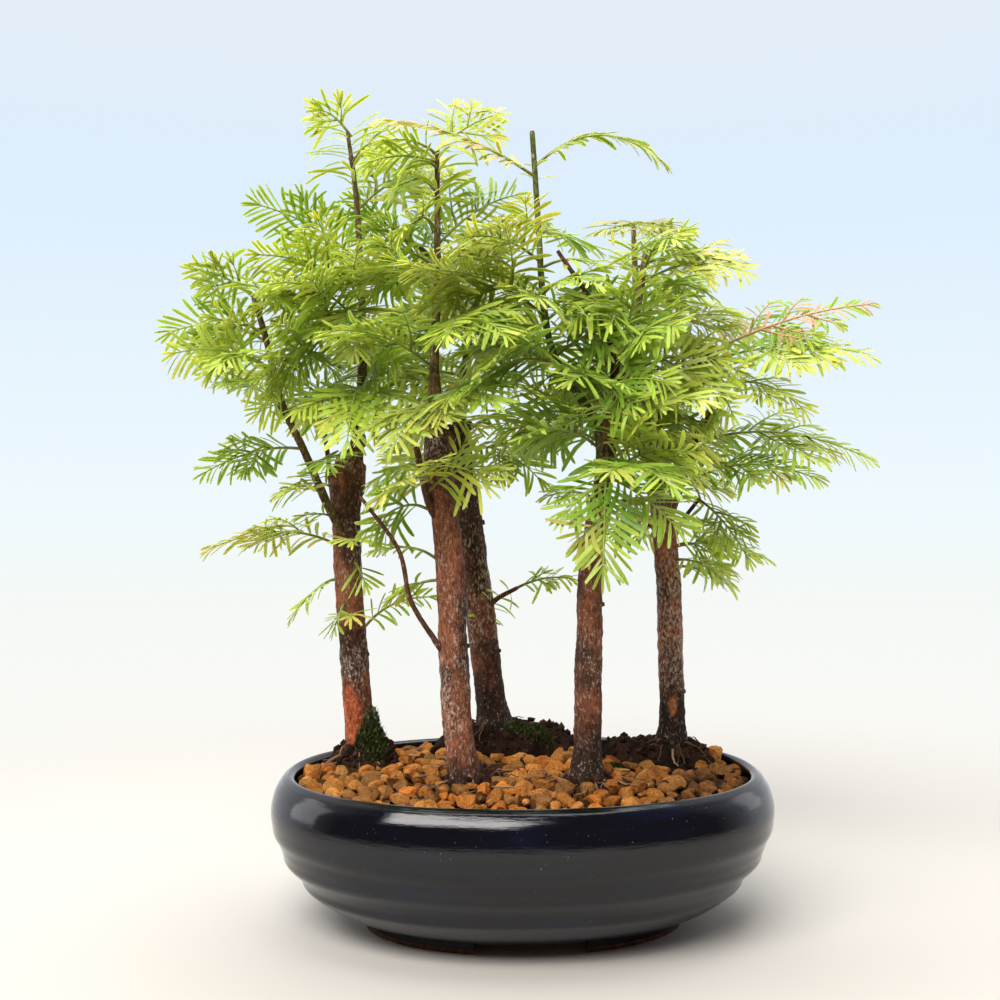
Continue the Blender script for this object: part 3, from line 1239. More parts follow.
def pot_cutters():
    """Give the mesh of the foot gap and the drain holes."""
    work = bmesh.new()
    box = bmesh.ops.create_cube(work, size=1.0)["verts"]
    size = Vector((FOOT_GAP_WIDTH, 2 * FOOT_GAP_REACH, 2 * FOOT_GAP_HEIGHT)) * MM
    bmesh.ops.scale(work, vec=size, verts=box)
    for x in (-DRAIN_X, DRAIN_X):
        found = bmesh.ops.create_cone(
            work, cap_ends=True, segments=DRAIN_SIDES, radius1=DRAIN_RADIUS * MM,
            radius2=DRAIN_RADIUS * MM, depth=(FLOOR_TOP + CUTTER_SPARE) * MM,
        )["verts"]
        bmesh.ops.translate(work, vec=Vector((x, 0.0, (FLOOR_TOP + FOOT_HEIGHT) / 2)) * MM, verts=found)
    mesh = bpy.data.meshes.new("pot_cutters")
    work.to_mesh(mesh)
    work.free()
    return mesh


# Wood
def flare(points, turns):
    """Give each trunk point's swelling where the trunk spreads into its roots."""
    ground = np.array([ground_level(x, y) for x, y, _ in points])
    near = np.clip(1.0 - (points[:, 2] - ground) / FLARE_HEIGHT, 0.0, 1.3) ** 2
    waves = 0.6 + 0.4 * np.cos(FLARE_ROOTS * turns + points[0, 0])
    return 1.0 + FLARE_SHARE * near[:, None] * waves[None, :]


def over_shell(shell, rule):
    """Give a rule's value at each point of a shell."""
    return np.array([[rule(place) for place in row] for row in shell])


def noise_over(shell, scale, stretch=1.0, shift=(0.0, 0.0, 0.0)):
    """Give layered noise at each point of a shell, read at a shift from it."""
    return over_shell(shell + shift, lambda place: fractal(place, scale, stretch))


def bark_shell(points, radii, sides, is_trunk, offset):
    """Give rings round a stem with the relief of its bark, and the relief of each point."""
    ring = ring_round(points, sides)
    swell = np.broadcast_to(radii[:, None], (len(points), sides)).copy()
    if is_trunk:
        swell *= flare(points, turns_round(sides))
    shell = points[:, None] + ring * swell[:, :, None]
    ridge = noise_over(shell, BARK_SCALE, BARK_STRETCH, (offset, 0.0, 0.0))
    relief = ridge + BARK_SWELL * noise_over(shell, BARK_SWELL_SCALE, 1.0, (0.0, offset, 0.0))
    depth = BARK_RELIEF * np.clip(radii / 4.5, 0.22, 1.0)
    return shell + ring * (relief * depth[:, None])[:, :, None], ridge


def mixed(first, second, share):
    """Mix two colours by a share for each point."""
    return np.asarray(first) * (1 - share[..., None]) + np.asarray(second) * share[..., None]


def bark_tint(shell, radii, relief, number, thin):
    """Colour the bark: red-brown with fine grey scales, dark at its foot, its own colour where thin."""
    scale = noise_over(shell, 0.62, 1.5)
    red = noise_over(shell[..., (1, 0, 2)], 0.06, 1.6)
    tint = mixed(BARK_OLD, BARK_RED, np.clip(red * 1.9 + 0.52, 0.0, 1.0)) * BARK_SHADE[number]
    where = noise_over(shell, 0.05, 1.2, (0.0, 0.0, 90.0))
    grey = np.clip(0.6 * scale + where * 1.1 + 1.5 * GREYNESS[number] - 0.25, 0.0, 1.0)
    bare = np.zeros(grey.shape)
    middle = shell.mean(axis=1)[:, None]
    turn = np.degrees(np.arctan2(shell[..., 1] - middle[..., 1], shell[..., 0] - middle[..., 0]))
    for tree, height, heading, half_height, half_turn, most, colour in BARE_PATCHES:
        if number != tree:
            continue
        across = np.abs((turn - heading + 180.0) % 360.0 - 180.0) / half_turn
        down = (shell[..., 2] - height) / half_height
        patch = np.clip(1.5 - (across ** 2 + down ** 2) + 0.8 * scale, 0.0, 1.0)
        tint = mixed(tint, colour, patch * most)
        grey = grey * (1.0 - patch)
        bare = np.maximum(bare, patch)
    ground = over_shell(shell, lambda p: ground_level(p[0], p[1]))
    height, fade = EARTH_REACH[number]
    wet = np.clip(1.0 - (shell[..., 2] - ground - height) / fade + 0.5 * scale, 0.0, 1.0)
    wet = wet * (1.0 - bare)
    tint = mixed(tint, BARK_EARTH, wet * 0.9)
    young = np.clip((2.8 - radii) / 1.0, 0.0, 1.0)[:, None] * np.ones(relief.shape)
    tint = mixed(tint, thin, young) * np.clip(1.0 + 0.6 * relief, 0.4, 1.6)[:, :, None]
    grey = grey * (1.0 - np.clip(wet * 1.8, 0.0, 1.0)) * (1.0 - young)
    return np.concatenate([tint, grey[:, :, None]], axis=-1)


def add_stub(builder, number, stem, height, heading, lift, radius, length):
    """Add a short cut stub with a dark end on a trunk."""
    root, _, stem_radius, _ = stem_place(stem, height)
    aim = aimed(heading, lift)
    reach, swell = (np.array(shares)[:, None] for shares in (STUB_REACH, STUB_SWELL))
    begin = stem_radius * 0.7
    points = root + aim * (begin + reach * (length + stem_radius - begin))
    ring = ring_round(root + aim * np.linspace(0.0, 1.0, len(reach))[:, None] * length, STEM_SIDES)
    uneven = noise_over(points[:, None] + ring * radius, 0.5)
    shell = points[:, None] + ring * (radius * swell * (1 + 0.25 * uneven))[:, :, None]
    tint = bark_tint(shell, np.full(len(reach), 4.0), uneven, number, BARK_OLD)[..., :3] * 0.8
    if radius > SCAR_RADIUS:
        tint[-3:] = np.array(CUT_DARK) * (1.0 + 0.8 * uneven[-3:, :, None])
    add_shell(builder, shell, tint)


def build_wood(number, stems, bark):
    """Make one tree's wood with its bark, collars and cut stubs."""
    builder = Builder()
    for place, (name, stem) in enumerate(stems.items()):
        rows = smooth_line(stem, WOOD_STEP)
        points = rows[:, :3]
        radii = rows[:, 3].copy()
        points = np.vstack([points, points[-1] + unit(points[-1] - points[-2]) * STEM_END])
        radii = np.append(radii, radii[-1] * 0.8)
        is_trunk = name == "trunk"
        if not is_trunk:
            reach = np.concatenate([[0.0], np.cumsum(np.linalg.norm(np.diff(points, axis=0), axis=1))])
            radii *= 1.0 + COLLAR * np.exp(-reach / COLLAR_REACH)
        sides = TRUNK_SIDES if is_trunk else STEM_SIDES
        shell, relief = bark_shell(points, radii, sides, is_trunk, 31.0 * number + 7.0 * place)
        thin = STEM_COLOURS.get((number, name), TWIG_BROWN)
        add_shell(builder, shell, bark_tint(shell, radii, relief, number, thin))
    for tree, *stub in STUBS:
        if tree == number:
            add_stub(builder, number, stems["trunk"], *stub)
    piece = builder.make("tree_%d_bark" % number, bark, BARK_CREASE)
    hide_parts("tree_%d_wood" % number)


# Leaves
def unit_rows(rows):
    """Give rows of vectors with a length of one each."""
    return rows / np.maximum(np.linalg.norm(rows, axis=1), TINY)[:, None]


def leaf_blades(found, tints, draw):
    """Give the points, faces and tints of many blunt flat needles, each a closed blade."""
    roots, aims, normals, along = (np.array([row[column] for row in found]) for column in range(4))
    lengths = np.array([row[4] for row in found])
    count = len(found)
    across = unit_rows(np.cross(normals, aims))
    normals = np.cross(aims, across)
    forward = along - aims * np.sum(along * aims, axis=1)[:, None]
    arch = draw.uniform(*LEAF_ARCH, count)
    sweep = draw.uniform(*LEAF_SWEEP, count)
    hang = draw.uniform(*LEAF_HANG, count)
    twist = np.radians(draw.normal(0.0, LEAF_TWIST, count))
    turned = across * np.cos(twist)[:, None] + normals * np.sin(twist)[:, None]
    bend = normals * arch[:, None] + forward * sweep[:, None]
    bend[:, 2] -= hang
    slim = np.clip(lengths / 12.0, 0.72, 1.08)
    stations = np.array(LEAF_STATIONS)
    points = np.empty((count, len(stations) * 3 + 1, 3))
    for level, (station, width) in enumerate(zip(stations, LEAF_WIDTHS)):
        centre = roots + (aims * station + bend * station ** 2) * lengths[:, None]
        going = unit_rows(aims + 2.0 * station * bend)
        wide = unit_rows(turned - going * np.sum(turned * going, axis=1)[:, None])
        under = np.cross(wide, going)
        half = wide * (width * LEAF_HALF_WIDTH * slim)[:, None]
        first = level * 3
        points[:, first] = centre - half
        points[:, first + 1] = centre + half
        points[:, first + 2] = centre + under * LEAF_KEEL * width
    points[:, -1] = roots + (aims + bend) * lengths[:, None]
    one = ring_quads(len(stations), 3)
    last = (len(stations) - 1) * 3
    ends = np.array([[last + step, last + (step + 1) % 3, last + 3] for step in range(3)] + [[2, 1, 0]])
    shift = (np.arange(count) * points.shape[1])[:, None, None]
    faces = [(group[None] + shift).reshape(-1, group.shape[1]) for group in (one, ends)]
    fade = np.concatenate([np.repeat(stations, 3), [1.0]])
    shades = tints[:, None, :] * (LEAF_FADE[0] + LEAF_FADE[1] * fade)[None, :, None]
    return points.reshape(-1, 3), faces, shades.reshape(-1, 3)


def gather_leaves(shoot, bare, found, rough, bronze, size):
    """Plan a shoot's needles: root, aim, flat side, shoot's direction, length, share and bronze."""
    count = max(2, int((shoot.length - bare) / FINE_PITCH) + 1)
    for reach in (min(bare + FINE_PITCH * step, shoot.length) for step in range(count)):
        point, along, side, up = shoot.at(reach)
        share = reach / shoot.length
        base, swell, fall = NEEDLE_PROFILE
        for hand in (1, -1):
            length = NEEDLE_LENGTH * LEAF_LONGER * (base + swell * share + fall * share ** 2)
            length *= size * rough.uniform(*LEAF_LENGTHS)
            if shoot.length < SHORT_SHOOT:
                length *= SHORT_SHOOT_LENGTH
            angle = NEEDLE_ANGLE[0] - NEEDLE_ANGLE[1] * share - LEAF_OPEN
            angle = math.radians(angle + rough.uniform(-LEAF_ANGLE_UNEVEN, LEAF_ANGLE_UNEVEN))
            lift = math.radians(rough.uniform(*LEAF_RISE))
            out = side * hand * math.cos(lift) + up * math.sin(lift)
            aim = along * math.cos(angle) + out * math.sin(angle)
            normal = up * math.cos(lift) - side * hand * math.sin(lift)
            found.append((point + out * SHOOT_RADII[1], aim, normal, along, length, share, bronze))
    point, along, side, up = shoot.at(shoot.length)
    for turn, part in TIP_LEAVES:
        angle = math.radians(turn + rough.uniform(-5.0, 5.0))
        aim = along * math.cos(angle) + side * math.sin(angle)
        found.append((point, aim, up, along, END_NEEDLE * part * size, 1.0, bronze))


def clear_of_stems(found, stems):
    """Drop the needles that would run through a woody stem."""
    if not len(stems.starts):
        return found
    roots, aims = (np.array([row[column] for row in found]) for column in range(2))
    lengths = np.array([row[4] for row in found])[:, None]
    gaps = line_gaps(roots + aims * 1.5, roots + aims * lengths, stems.starts, stems.ends)
    free = (gaps - stems.radii[None, :]).min(axis=1) > LEAF_CLEAR
    return [row for row, keep in zip(found, free) if keep]


def fine_shoots(main):
    """Give a spray's shoots with the shorter ones that stand between them."""
    shoots = main.whole_spray()
    if main.branches:
        for share, hand, part in EXTRA_SHOOTS:
            reach = share * main.length
            branch = side_shoot(main, reach, SIDE_SHOOT_SHARE * part, hand)
            if branch.length > 3.0 * FINE_PITCH:
                shoots.append(branch)
    return shoots


def reshaped(main, length, side_length, roll, drop):
    """Give a spray with the same root but another length, roll and height of its tip."""
    start, tip = main.points[0], main.points[-1]
    half = CURVE_STEPS // 2
    middle = (main.points[half - 1] + main.points[half]) / 2
    bend = 2 * middle - (start + tip) / 2
    turn = math.radians(roll)
    side, up = main.side[half], np.cross(main.along[half], main.side[half])
    flat_up = up * math.cos(turn) + side * math.sin(turn)
    fall = np.array([0.0, 0.0, drop])
    bend = start + (bend - start) * length - fall * DROP_BEND
    grown = Shoot(start, bend, start + (tip - start) * length - fall, flat_up)
    for (share, _), (hand, _) in zip(SIDE_SHOOT_PLACES, main.branches):
        branch = side_shoot(grown, share * grown.length, SIDE_SHOOT_SHARE * side_length, hand)
        grown.branches.append((hand, branch))
    return grown


def leader_needles(stem, low, high, spacing, length, rough):
    """Plan the needles that stand on a young leader itself, in pairs to its left and right."""
    found = []
    height = low
    while height <= high:
        point, along, radius, _ = stem_place(stem, height)
        for hand in (0.0, 180.0):
            level = aimed(hand + rough.gauss(0.0, LEADER_TURN), 0.0)
            out = unit(level - along * np.dot(level, along))
            angle = math.radians(rough.uniform(*LEADER_ANGLE))
            aim = along * math.cos(angle) + out * math.sin(angle)
            normal = unit(along - aim * np.dot(along, aim))
            reach = length * rough.uniform(0.75, 1.2)
            found.append((point + out * radius * 0.7, aim, normal, along, reach, 0.5, 0.0))
        height += spacing * rough.uniform(0.8, 1.2)
    return found


def add_green_shoot(builder, shoot, thick, colour):
    """Add the green stem of a shoot, brown where it leaves the wood."""
    root = shoot.points[0] - unit(shoot.points[1] - shoot.points[0]) * SHOOT_ROOT * (thick == 1.0)
    line = np.vstack([root, shoot.points[1:]])
    share = np.linspace(0.0, 1.0, len(line))
    radii = (SHOOT_RADII[0] + (SHOOT_RADII[1] - SHOOT_RADII[0]) * share) * thick
    tint = mixed(SHOOT_BROWN, colour, np.clip(share * 3.0, 0.0, 1.0))
    add_tube(builder, line, radii, SHOOT_SIDES, np.broadcast_to(tint[:, None], (len(share), SHOOT_SIDES, 3)))


def add_needles(builder, found, stems, slot, withered, draw):
    """Add planned needles in the colours of their slot."""
    found = clear_of_stems(found, stems)
    count = len(found)
    share = np.array([row[5] for row in found])
    bronze = np.array([row[6] for row in found]) * draw.uniform(0.6, 1.0, count)
    tints = mixed(mixed(*GREENS[slot], share), BRONZE, bronze)
    tints = tints * draw.uniform(*LEAF_SHADES, count)[:, None]
    tints[:, 0] *= draw.uniform(*LEAF_REDS, count)
    dry = draw.random(count) < withered
    tints[dry] = np.array(WITHERED) * draw.uniform(0.7, 1.15, dry.sum())[:, None]
    builder.add(*leaf_blades(found, tints, draw))


def add_spray(builder, place, main, stems, slot, draw, rough, size=1.0):
    """Add one spray's shoots and needles."""
    found = []
    withered = WITHERED_SPRAYS.get(place, 0.0)
    colour = WITHERED if withered > 0.2 else SHOOT_GREEN
    for step, shoot in enumerate(fine_shoots(main)):
        bronze = rough.uniform(0.2, 0.6) if rough.random() < BRONZE_SHOOTS else 0.0
        bronze = max(bronze, BRONZE_SPRAYS.get(place, 0.0))
        bare = (BARE_SIDE_BASE if step else BARE_BASE) * BARE_SHARE
        gather_leaves(shoot, bare, found, rough, bronze, size)
        add_green_shoot(builder, shoot, 0.8 if step else 1.0, colour)
    add_needles(builder, found, stems, GREENER_SPRAYS.get(place, slot), withered, draw)


def in_crown(main):
    """Say whether a spray stays inside the crown's outline from the front, and well inside the frame."""
    points = np.vstack([shoot.points[4:] for shoot in main.whole_spray()])
    low, high = (np.array(corner) / MM for corner in cad_box)
    if (points < low + FILL_EDGE).any() or (points > high - FILL_EDGE).any():
        return False
    edge = np.array(CROWN_EDGE, dtype=float)
    nearer = CAMERA_DISTANCE / (CAMERA_DISTANCE + points[:, 1])
    x = points[:, 0] * nearer
    z = CAMERA_HEIGHT + (points[:, 2] - CAMERA_HEIGHT) * nearer
    bottom = np.interp(x, edge[:, 0], edge[:, 1], left=999.0)
    top = np.interp(x, edge[:, 0], edge[:, 2], right=0.0)
    windows = ((x > a) & (x < b) & (z > c) & (z < d) for a, b, c, d in SKY_WINDOWS)
    return ((z > bottom) & (z < top)).all() and not any(window.any() for window in windows)


def plan_fillers(taken):
    """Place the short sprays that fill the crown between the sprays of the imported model."""
    draw = random.Random(FILL_SEED)
    planned = []
    for number, stem_name, bottom, top, spacing, reach_low, reach_high, heading in FILL_STEMS:
        height = bottom
        while height <= top:
            share = (height - bottom) / (top - bottom)
            reach = (reach_low + (reach_high - reach_low) * share) * draw.uniform(0.85, 1.12)
            growth = (TREES[number][stem_name], height, heading, reach, draw.uniform(*FILL_LIFTS))
            best = best_spray(taken, FILL_CLEAR, in_crown, *growth, FILL_ARCH, draw.choice(FILL_ROLLS), 2)
            if best is not None and best[0] > FILL_CLEAR * FILL_TIGHT:
                take_spray(taken, best[1])
                planned.append((number, best[1]))
            height += spacing * draw.uniform(0.8, 1.2)
            heading += FILL_HEADING
    return planned


def build_leaves():
    """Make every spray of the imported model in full, then the short ones that fill the crown."""
    leaf = leaf_material("leaf_look")
    planned, taken = plan_sprays()
    stems = wood_lines()
    draw = np.random.default_rng(LEAF_SEED)
    rough = random.Random(LEAF_SEED)
    slots = {row["node"]: row["material_slot"] for row in frame["record"]["subparts"]}
    for place, main in planned:
        name = "tree_%d_spray_%02d" % place
        builder = Builder()
        size = 1.0
        if place in SPRAY_SHAPES:
            *shape, size = SPRAY_SHAPES[place]
            main = reshaped(main, *shape)
        add_spray(builder, place, main, stems, slots[name], draw, rough, size)
        piece = builder.make(name + "_leaves", leaf, LEAF_CREASE)
        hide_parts(name)
    fillers = plan_fillers(taken)
    for number in TREES:
        builder = Builder()
        for place, (tree, main) in enumerate(fillers):
            if tree == number:
                slot = list(GREENS)[place % len(GREENS)]
                add_spray(builder, None, main, stems, slot, draw, rough)
        for tree, stem, *growth, size, slot in MORE_SPRAYS:
            if tree == number:
                main = grow_shoot(TREES[tree][stem], *growth)
                add_spray(builder, None, main, stems, slot, draw, rough, size)
        for tree, stem, *rows in LEADERS:
            if tree == number:
                found = leader_needles(TREES[tree][stem], *rows, rough)
                add_needles(builder, found, Taken(), "spray_bright", 0.0, draw)
        builder.make("tree_%d_young_sprays" % number, leaf, LEAF_CREASE)


def wood_lines():
    """Give the room that the woody stems fill."""
    taken = Taken()
    for stems in TREES.values():
        for stem in stems.values():
            points, radii = stem_points(stem)
            taken.add(points, radii[:-1])
    return taken


# Ground
def dark_share(x, y):
    """Give how much of a place is bare dark soil between the pebbles."""
    share = 0.0
    for middle_x, middle_y, half_x, half_y in DARK_SPOTS:
        reach = ((x - middle_x) / half_x) ** 2 + ((y - middle_y) / half_y) ** 2
        share = max(share, 1.0 - reach)
    return share


def ground_level(x, y):
    """Give the height of the soil's surface at a place."""
    bare = min(1.0, 2.0 * dark_share(x, y)) * (gravel_level(x, y) - SOIL_TOP + 0.6)
    return SOIL_TOP + 0.8 + max(mound_height(x, y), bare)


def soil_height(x, y):
    """Give the rough height of the soil, with its lumps and crumbs."""
    lumps = fractal((x, y, 3.0), 0.20) * SOIL_ROUGH
    grit = fractal((x + 50.0, y, 9.0), 0.85) * 0.6
    return ground_level(x, y) + lumps + grit


def place_in(draw, patch, spread=1.0):
    """Draw a place in an oval patch, and give it with its share of the way to the patch's edge."""
    middle_x, middle_y, reach_x, reach_y = patch
    turn = draw.uniform(0.0, 2 * math.pi)
    far = math.sqrt(draw.random()) * spread
    return middle_x + reach_x * far * math.cos(turn), middle_y + reach_y * far * math.sin(turn), far


def ground_top(x, y, cover):
    """Give the height of the ground's top, with the cover of the pebbles where no mound is."""
    low = soil_height(x, y)
    if mound_height(x, y) < 1.0:
        low = max(low, gravel_level(x, y) + cover)
    return low


def build_soil(material):
    """Make the soil: its rough top with the mounds, closed below along the pot's wall."""
    circle = oval_circle(SOIL_SECTORS)
    shares = np.linspace(1.0, 0.012, SOIL_RINGS)
    half_x, half_y = SOIL_BOTTOM[-1][1:]
    rings = []
    tints = []
    for height, length, depth in SOIL_BOTTOM:
        rings.append([(length * cx, depth * cy, height) for cx, cy in circle])
        tints.append([SOIL_TINT] * SOIL_SECTORS)
    for share in shares:
        ring = []
        tint = []
        for cx, cy in circle:
            x = half_x * share * cx
            y = half_y * share * cy
            ring.append((x, y, soil_height(x, y)))
            dry = min(1.0, max(0.0, 0.5 + 1.2 * fractal((x, y, 20.0), 0.12)))
            tint.append([a + (b - a) * dry for a, b in zip(SOIL_TINT, SOIL_TINT_DRY)])
        rings.append(ring)
        tints.append(tint)
    builder = Builder()
    add_shell(builder, np.array(rings), np.array(tints))
    draw = random.Random(SOIL_SEED)
    points, faces = ball_template(1)
    for _ in range(CRUMB_COUNT):
        *patch, _ = draw.choice(MOUNDS)
        x, y, _ = place_in(draw, patch, CRUMB_SPREAD)
        if oval_share(x, y, GROUND_HALF) > 1.0:
            continue
        radius = draw.uniform(*CRUMB_RADII) * draw.uniform(0.6, 1.0)
        shape = points * radius * np.array([draw.uniform(*CRUMB_SHAPES) for _ in range(3)])
        shape = shape * (1.0 + 0.25 * np.array([draw.uniform(-1, 1) for _ in points]))[:, None]
        place = np.array([x, y, soil_height(x, y) + radius * 0.25])
        shade = draw.uniform(*CRUMB_SHADES)
        builder.add(shape + place, [faces], np.array(SOIL_TINT_DRY) * shade)
    piece = builder.make("soil_top", material)
    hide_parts("soil")


def oval_share(x, y, half):
    """Give how far out a place is, as a share of the oval's edge."""
    return (abs(x / half[0]) ** OVAL_POWER + abs(y / half[1]) ** OVAL_POWER) ** (1.0 / OVAL_POWER)


def scatter(draw, tries, spacing, edge, kept_off):
    """Give places in the pot's mouth, each with its width, that don't overlap."""
    places = np.empty((0, 3))
    small, large = spacing
    for step in range(tries):
        width = draw.uniform(small, large) if step > tries / 4 else large * draw.uniform(0.85, 1.0)
        x = draw.uniform(-1.0, 1.0) * GROUND_HALF[0]
        y = draw.uniform(-1.0, 1.0) * GROUND_HALF[1]
        if oval_share(x, y, GROUND_HALF) > edge:
            continue
        if mound_height(x, y) > kept_off or dark_share(x, y) > draw.uniform(0.1, 0.6):
            continue
        if len(places):
            gaps = np.hypot(places[:, 0] - x, places[:, 1] - y) - (places[:, 2] + width) / 2
            if gaps.min() < 0.0:
                continue
        places = np.vstack([places, (x, y, width)])
    return places


def pebble(template, radius, draw):
    """Give the points of one clay pebble: a squashed ball with flats, dents and pits."""
    axes = np.array([draw.uniform(*ends) for ends in (PEBBLE_LENGTH, PEBBLE_WIDTH, PEBBLE_SQUASH)])
    shape = template * PEBBLE_SWELL
    for _ in range(PEBBLE_FLATS):
        facing = unit(np.array([draw.gauss(0, 1) for _ in range(3)]))
        depth = draw.uniform(*PEBBLE_FLAT_REACH)
        above = np.maximum(shape @ facing - depth, 0.0)
        shape = shape - facing * (above * PEBBLE_FLAT_CUT)[:, None]
    shape = shape * axes
    shift = Vector([draw.uniform(-50, 50) for _ in range(3)])
    for step, direction in enumerate(template):
        dent = noise.fractal(Vector(direction) * PEBBLE_DENTS + shift, 0.8, 2.2, 3)
        shape[step] *= 1.0 + PEBBLE_DENT * dent
    turn = draw.uniform(0, 2 * math.pi)
    tilt = draw.gauss(0, PEBBLE_LEAN)
    spin = np.array([[math.cos(turn), -math.sin(turn), 0], [math.sin(turn), math.cos(turn), 0], [0, 0, 1]])
    lean = np.array([[1, 0, 0], [0, math.cos(tilt), -math.sin(tilt)], [0, math.sin(tilt), math.cos(tilt)]])
    return shape @ lean.T @ spin.T * radius


def build_gravel(material):
    """Lay the clay pebbles: a bed with a top layer on it, free of the mounds."""
    draw = random.Random(PEBBLE_SEED)
    builder = Builder()
    for *rules, lift, shade in PEBBLE_LAYERS:
        for x, y, width in scatter(draw, *rules):
            template, faces = ball_template(3 if shade == 1.0 and width > PEBBLE_SMALL else 2)
            radius = width * draw.uniform(*PEBBLE_RADII)
            level = max(gravel_level(x, y) + lift, SOIL_TOP + mound_height(x, y) + lift)
            place = np.array([x, y, level + draw.uniform(*PEBBLE_UNEVEN)])
            right = 1.0 - RIGHT_SHADE * min(1.0, max(0.0, (x - RIGHT_SHADE_START) / RIGHT_SHADE_RUN))
            base = np.array(draw.choice(PEBBLE_TINTS)) * draw.uniform(*PEBBLE_SHADES) * shade * right
            builder.add(pebble(template, radius, draw) + place, [faces], base)
    for x, y, z, radius in RIM_PEBBLES:
        template, faces = ball_template(4)
        builder.add(pebble(template, radius, draw) + np.array([x, y, z]), [faces], PEBBLE_TINTS[2])
    piece = builder.make("gravel_bed", material, PEBBLE_CREASE)
    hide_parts("gravel")


def build_moss(material):
    """Set the moss: patches of short pointed leaves that stand in small stars."""
    draw = random.Random(MOSS_SEED)
    builder = Builder()
    low_tint, mid_tint, high_tint = (np.array(colour) for colour in MOSS_TINTS)
    faces = [
        np.array([[0, 3, 6, 5], [5, 6, 2, 1], [1, 2, 3, 0]]),
        np.array([[3, 4, 6], [6, 4, 2], [2, 4, 3], [0, 5, 1]]),
    ]
    for *patch, height, count in MOSS_PATCHES:
        for _ in range(count):
            x, y, far = place_in(draw, patch)
            crown = math.sqrt(max(0.0, 1.0 - far * far)) * height
            root = np.array([x, y, ground_top(x, y, MOSS_COVER) + crown * draw.uniform(0.55, 1.0)])
            tilt = draw.uniform(*MOSS_TILTS)
            heading = draw.uniform(0, 2 * math.pi)
            out = math.sin(tilt)
            aim = np.array([math.cos(heading) * out, math.sin(heading) * out, math.cos(tilt)])
            side = unit(np.cross(aim, (0.3, 0.5, 0.81))) * draw.uniform(*MOSS_WIDTHS)
            lift = unit(np.cross(side, aim)) * 0.10
            tip = root + aim * draw.uniform(*MOSS_LENGTHS)
            base = root - np.array([0.0, 0.0, 0.6])
            share = draw.random() ** 4
            tint = mid_tint * (1 - share) + high_tint * share
            corners = (base - side, base + side, root + side, root - side)
            points = np.array([*corners, tip, base + lift, root + lift])
            shades = np.array([low_tint, low_tint, tint, tint, tint * 1.25, low_tint, tint])
            builder.add(points, faces, shades)
    builder.make("moss_tufts", material)


def ground_line(x, y, heading, length, draw, lift):
    """Give a wandering line that lies on the ground."""
    points = []
    steps = max(5, int(length / LINE_STEP))
    for step in range(steps):
        points.append((x, y, ground_top(x, y, LINE_COVER) + lift))
        heading += draw.uniform(-LINE_TURN, LINE_TURN)
        x += math.cos(heading) * length / steps
        y += math.sin(heading) * length / steps
        if oval_share(x, y, GROUND_HALF) > 0.98:
            break
    return np.array(points)


def build_roots(material):
    """Lay fine roots over the mounds, out from the trunks."""
    draw = random.Random(ROOT_SEED)
    builder = Builder()
    trunks = [stems["trunk"][0] for stems in TREES.values()]
    for _ in range(ROOT_COUNT):
        x, y, _, radius = draw.choice(trunks)
        heading = draw.uniform(0, 2 * math.pi)
        reach = radius + draw.uniform(*ROOT_STARTS)
        thick = draw.uniform(*ROOT_RADII)
        pale = draw.random() ** 2
        line = ground_line(
            x + math.cos(heading) * reach, y + math.sin(heading) * reach,
            heading, draw.uniform(*ROOT_LENGTHS), draw, draw.uniform(*ROOT_LIFTS),
        )
        if len(line) < 4:
            continue
        line = smooth_line(line, ROOT_STEP)
        radii = thick * np.linspace(1.0, 0.4, len(line))
        dark, light = (np.array(colour) for colour in ROOT_TINTS)
        add_tube(builder, line, radii, ROOT_SIDES, dark + (light - dark) * pale)
    builder.make("fine_roots", material)


def build_straw(material):
    """Scatter withered needles and bits of straw on the gravel and the soil."""
    draw = random.Random(STRAW_SEED)
    builder = Builder()
    for _ in range(STRAW_COUNT):
        turn = draw.uniform(0, 2 * math.pi)
        far = math.sqrt(draw.random()) * STRAW_SPREAD
        cx, cy = oval_point(turn, GROUND_HALF[0] * far, GROUND_HALF[1] * far)
        heading = draw.uniform(0, 2 * math.pi)
        line = ground_line(cx, cy, heading, draw.uniform(*STRAW_LENGTHS), draw, STRAW_LIFT)
        if len(line) < 3:
            continue
        line[:, 2] = np.linspace(line[0, 2], line[-1, 2], len(line)) + draw.uniform(0.0, 1.0)
        line = smooth_line(line, STRAW_STEP)
        width = draw.uniform(*STRAW_RADII)
        radii = width * np.sin(np.linspace(0.35, math.pi - 0.2, len(line)))
        add_tube(builder, line, radii, STRAW_SIDES, np.array(STRAW_TINT) * draw.uniform(*STRAW_SHADES))
    builder.make("straw_needles", material)


# Picture
def world_light():
    """Light the room softly, dim in front, before a backdrop from warm white to pale blue."""
    world = bpy.data.worlds.new("studio")
    bpy.context.scene.world = world
    world.use_nodes = True
    tree = world.node_tree
    line_of_sight = add_node(tree, "TexCoord", {}).outputs["Generated"]
    split = add_node(tree, "SeparateXYZ", {"Vector": line_of_sight})
    mix = add_node(tree, "MixShader", {"Fac": add_node(tree, "LightPath", {}).outputs["Is Camera Ray"]})
    for slot, axis, stops in ((1, "Y", ROOM_STOPS), (2, "Z", BACKDROP_STOPS)):
        colour = ramp(tree, stretched(tree, split.outputs[axis], {"From Min": -1.0}), stops)
        background = add_node(tree, "Background", {"Color": colour})
        feed(tree, mix, {slot: background.outputs["Background"]})
    feed(tree, tree.nodes["World Output"], {"Surface": mix.outputs["Shader"]})


